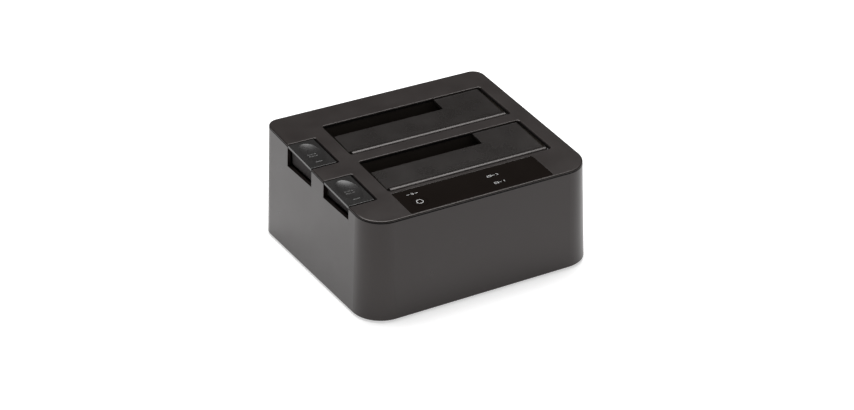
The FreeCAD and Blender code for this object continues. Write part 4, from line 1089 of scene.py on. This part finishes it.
@dataclass
class Studio:
    """Pale floor, one softbox and the camera at the photograph's angle.

    Args:
        azimuth: Degrees round the object from its front.
        elevation: Degrees above the horizon.
        distance: From the camera to the point that it looks at.
        target: The point that it looks at.
        focal_length: In millimetres.
        sensor_width: In millimetres.
        clip_range: The nearest and the furthest distance that the camera shows.
        softbox_place: Where the softbox hangs: overhead, a little behind the object.
        softbox_aim: The point that it faces.
        softbox_size: Its width and depth.
        softbox_power: Its power in watts.
        backdrop_top: Height of a direction up to which the backdrop is white.
        ceiling_start: Height of a direction from which the dark ceiling is met.
        ceiling_level: Brightness of the ceiling, where white is 1.
        fill_level: Brightness of the even light that falls on everything.
        floor_radii: Radii of the floor's rings of points.
        floor_spokes: How many points a ring has.
        floor_tone: How much of the light the floor throws back.
        floor_roughness: Its roughness.
        floor_glow: What the floor near the object shows above the light that falls on it.
        glow_reach: Distances from the object between which that grows to full white.
    """

    azimuth: float = -30.01
    elevation: float = 28.58
    distance: float = 1.24199
    target: tuple[float, float, float] = (0.00244, 0.00395, 0.0234)
    focal_length: float = 91.95
    sensor_width: float = 36.0
    clip_range: tuple[float, float] = (0.01, 20.0)
    softbox_place: tuple[float, float, float] = (0.1, 0.2, 1.0)
    softbox_aim: tuple[float, float, float] = (0.1, 0.0, 0.03)
    softbox_size: tuple[float, float] = (1.15, 0.6)
    softbox_power: float = 12.6
    backdrop_top: float = -0.02
    ceiling_start: float = 0.12
    ceiling_level: float = 0.03
    fill_level: float = 0.16
    floor_radii: tuple[float, ...] = (0.0, 0.4, 1.2, 3.0)
    floor_spokes: int = 64
    floor_tone: float = 0.86
    floor_roughness: float = 0.7
    floor_glow: float = 0.58
    glow_reach: tuple[float, float] = (0.3, 1.0)

    def camera(self) -> bpy.types.Object:
        """The camera, level, looking at the target along its own -Z.

        Returns:
            The camera object.
        """
        turn, rise = math.radians(self.azimuth), math.radians(self.elevation)
        level = math.cos(rise)
        back = Vector((math.sin(turn) * level, -math.cos(turn) * level, math.sin(rise)))
        right = Vector((math.cos(turn), math.sin(turn), 0.0))
        up = back.cross(right)
        data = bpy.data.cameras.new("camera")
        data.lens = self.focal_length
        data.sensor_width = self.sensor_width
        data.clip_start, data.clip_end = self.clip_range
        camera = bpy.data.objects.new("camera", data)
        placed = Matrix((right, up, back)).transposed().to_4x4()
        placed.translation = Vector(self.target) + back * self.distance
        camera.matrix_world = placed
        bpy.context.scene.collection.objects.link(camera)
        bpy.context.scene.camera = camera
        return camera

    def softbox(self) -> bpy.types.Object:
        """The rectangular area light over the object.

        Returns:
            The light object.
        """
        data = bpy.data.lights.new("overhead", "AREA")
        data.shape = "RECTANGLE"
        data.size, data.size_y = self.softbox_size
        data.energy = self.softbox_power
        light = bpy.data.objects.new("overhead", data)
        place, aim = Vector(self.softbox_place), Vector(self.softbox_aim)
        light.location = place
        light.rotation_mode = "QUATERNION"
        light.rotation_quaternion = (aim - place).to_track_quat("-Z", "Y")
        bpy.context.scene.collection.objects.link(light)
        return light

    def world(self) -> None:
        """A white backdrop under a dark ceiling for what is seen, and an even grey light otherwise.

        What is seen is what camera, glossy and transmission rays meet. The backdrop ends softly
        between two heights of the direction, and the camera itself sees white all round.
        """
        world = bpy.data.worlds.new("surround")
        bpy.context.scene.world = world
        world.use_nodes = True
        tree = world.node_tree
        background = tree.nodes["Background"]
        background.inputs["Color"].default_value = (*WHITE, 1.0)
        place = tree.nodes.new("ShaderNodeTexCoord")
        split = tree.nodes.new("ShaderNodeSeparateXYZ")
        fade = tree.nodes.new("ShaderNodeMapRange")
        fade.interpolation_type = "SMOOTHSTEP"
        fade.inputs["From Min"].default_value = self.backdrop_top
        fade.inputs["From Max"].default_value = self.ceiling_start
        fade.inputs["To Min"].default_value = 1.0
        fade.inputs["To Max"].default_value = self.ceiling_level
        strength = tree.nodes.new("ShaderNodeMix")
        strength.inputs["A"].default_value = self.fill_level
        tree.links.new(place.outputs["Generated"], split.inputs["Vector"])
        tree.links.new(split.outputs["Z"], fade.inputs["Value"])
        tree.links.new(seen_rays(tree), strength.inputs["Factor"])
        direct = tree.nodes.new("ShaderNodeLightPath").outputs["Is Camera Ray"]
        tree.links.new(calculated(tree, "MAXIMUM", fade.outputs["Result"], direct), strength.inputs["B"])
        tree.links.new(strength.outputs["Result"], background.inputs["Strength"])

    def floor(self) -> bpy.types.Object:
        """A round white floor, brightened for the camera so that only the soft shadow stays grey.

        Its points are the radii times the cosine and sine of each turn, at a height of nought.

        Returns:
            The floor object.
        """
        radii = np.array(self.floor_radii)[:, None]
        turns = np.linspace(0, 2 * math.pi, self.floor_spokes, endpoint=False)[None, :]
        points = np.stack([radii * np.cos(turns), radii * np.sin(turns), 0 * radii * turns], axis=-1)
        floor = grid_mesh("floor", points, closed_v=True)
        material, shader = new_material("white_floor")
        tree = material.node_tree
        shader.inputs["Base Color"].default_value = (*scaled(WHITE, self.floor_tone), 1.0)
        shader.inputs["Roughness"].default_value = self.floor_roughness
        shader.inputs["Specular IOR Level"].default_value = 0.0
        shader.inputs["Emission Color"].default_value = (*WHITE, 1.0)
        place = tree.nodes.new("ShaderNodeTexCoord")
        away = tree.nodes.new("ShaderNodeVectorMath")
        away.operation = "LENGTH"
        tree.links.new(place.outputs["Object"], away.inputs[0])
        glow = ranged(tree, away.outputs["Value"], self.glow_reach, (self.floor_glow, 1.0))
        shown = calculated(tree, "MULTIPLY", glow, seen_rays(tree))
        tree.links.new(shown, shader.inputs["Emission Strength"])
        floor.data.materials.append(material)
        return floor

    def build(self) -> None:
        """Sets up the whole stage."""
        bpy.context.scene.view_settings.view_transform = "Standard"
        self.camera()
        self.softbox()
        self.world()
        self.floor()


# Assembly


@dataclass
class DockingStation:
    """The station: the frame's nodes with their finishes, and the pieces made here.

    Args:
        frame: What the frame loader returned.
        button_pad_width: Width of the eject buttons' pads, from their left edge.
        lens_sink: How far the gloss panel lies under the top.
        spring_leg_width: Length of a closing spring's end that doesn't wind up; not used.
        power_row_step: From the power button's middle back to the row of marks behind it.
        rear_row: The middle of the rear drive's row of marks, in x and y.
        front_row: The middle of the front drive's row of marks.
        made: The pieces made so far.
    """

    frame: dict
    button_pad_width: float = 15.9 * MM
    lens_sink: float = 0.15 * MM
    spring_leg_width: float = 0.65 * MM
    power_row_step: float = 8.4 * MM
    rear_row: tuple[float, float] = (15.4 * MM, -45.7 * MM)
    front_row: tuple[float, float] = (15.4 * MM, -53.3 * MM)
    made: list[bpy.types.Object] = field(default_factory=list)

    def panel_face(self) -> SlopedTop:
        """The plane of the gloss panel. Its normal is the power button's travel, reversed.

        Returns:
            The plane.
        """
        joint = next(joint for joint in self.frame["joints"] if joint["name"] == "power_press")
        _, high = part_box("control_lens")
        return SlopedTop(Vector((0.0, high.y, high.z)), -Vector(joint["axis"]).normalized())

    def top_face(self) -> SlopedTop:
        """The plane of the top, just over the gloss panel."""
        panel = self.panel_face()
        return SlopedTop(panel.origin + panel.normal * self.lens_sink, panel.normal)

    def add(self, piece: bpy.types.Object, material: bpy.types.Material, slot: str, body: str) -> None:
        """Dresses a new piece and sets it on its body.

        Args:
            piece: The new object.
            material: Its material.
            slot: The record's slot of its finish; not used.
            body: The body that carries it.
        """
        piece.data.materials.append(material)
        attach(piece, body)
        self.made.append(piece)
        LOG.info("added %s on %s", piece.name, body)

    def panel(self, ink: bpy.types.Material) -> None:
        """The printed marks of the control panel.

        Args:
            ink: The white ink.
        """
        face = self.panel_face()
        printed = PrintedPanel(face)
        button_low, button_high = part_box("power_button")
        button = (button_low + button_high) / 2
        ring_y = button.y + face.normal.y * (face.origin.z - button.z)
        self.add(printed.ring((button.x, ring_y)), ink, "lens_gloss", "power_button")
        power_y = ring_y + self.power_row_step
        rows = [
            ("power_mark", [Symbol.DASH, Symbol.POWER, Symbol.DASH], (button.x, power_y)),
            ("rear_drive_mark", [Symbol.DRIVE, Symbol.DASH, Symbol.TWO], self.rear_row),
            ("front_drive_mark", [Symbol.DRIVE, Symbol.DASH, Symbol.ONE], self.front_row),
        ]
        for name, symbols, centre in rows:
            for piece in printed.marks(name, symbols, centre):
                self.add(piece, ink, "lens_gloss", "dock")

    def buttons(self, satin: bpy.types.Material) -> None:
        """The dished faces of both eject buttons.

        Args:
            satin: The buttons' plastic.
        """
        face = self.top_face()
        for place in ("rear", "front"):
            low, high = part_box(f"{place}_eject_button")
            centre = (low.x + self.button_pad_width / 2, (low.y + high.y) / 2)
            dish = ButtonDish(place, face, centre)
            self.add(dish.build(), satin, "button_plastic", f"{place}_button")

    def spring(self, node: str, name: str, steel: bpy.types.Material) -> bpy.types.Object:
        """A copy of one of the frame's springs, with its shape, which stands in for it and hides it.

        Args:
            node: The frame's spring.
            name: The new piece's name.
            steel: The springs' finish.

        Returns:
            The new object.
        """
        made = bpy.data.objects.new(name, self.frame["nodes"][node].data.copy())
        bpy.context.scene.collection.objects.link(made)
        made.data.materials.clear()
        made.data.materials.append(steel)
        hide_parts(node)
        self.made.append(made)
        LOG.info("added %s for %s", name, node)
        return made

    def springs(self, steel: bpy.types.Material) -> None:
        """Copies of the springs: the return springs are set on the dock with meshes of their own, and the
        closing springs stay where they are.

        Args:
            steel: The springs' finish.
        """
        for place in ("rear", "front"):
            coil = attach(self.spring(f"{place}_button_spring", f"{place}_return_coil", steel), "dock")
            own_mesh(coil)
            coil = self.spring(f"{place}_flap_spring", f"{place}_closing_coil", steel)
            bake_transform(coil)


def main() -> None:
    """Loads the frame, dresses it, adds the pieces and sets the stage."""
    logging.basicConfig(level=logging.INFO)
    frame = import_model()
    station = DockingStation(frame)
    top = station.top_face()
    materials = FinishBook().dress(frame, Effects(depth_group(top.origin, top.normal)))
    station.panel(PrintedInk().material())
    station.buttons(materials["button_plastic"])
    station.springs(materials["spring_steel"])
    Studio().build()
    LOG.info("pieces made here: %d", len(station.made))


if __name__ == "__main__":
    main()
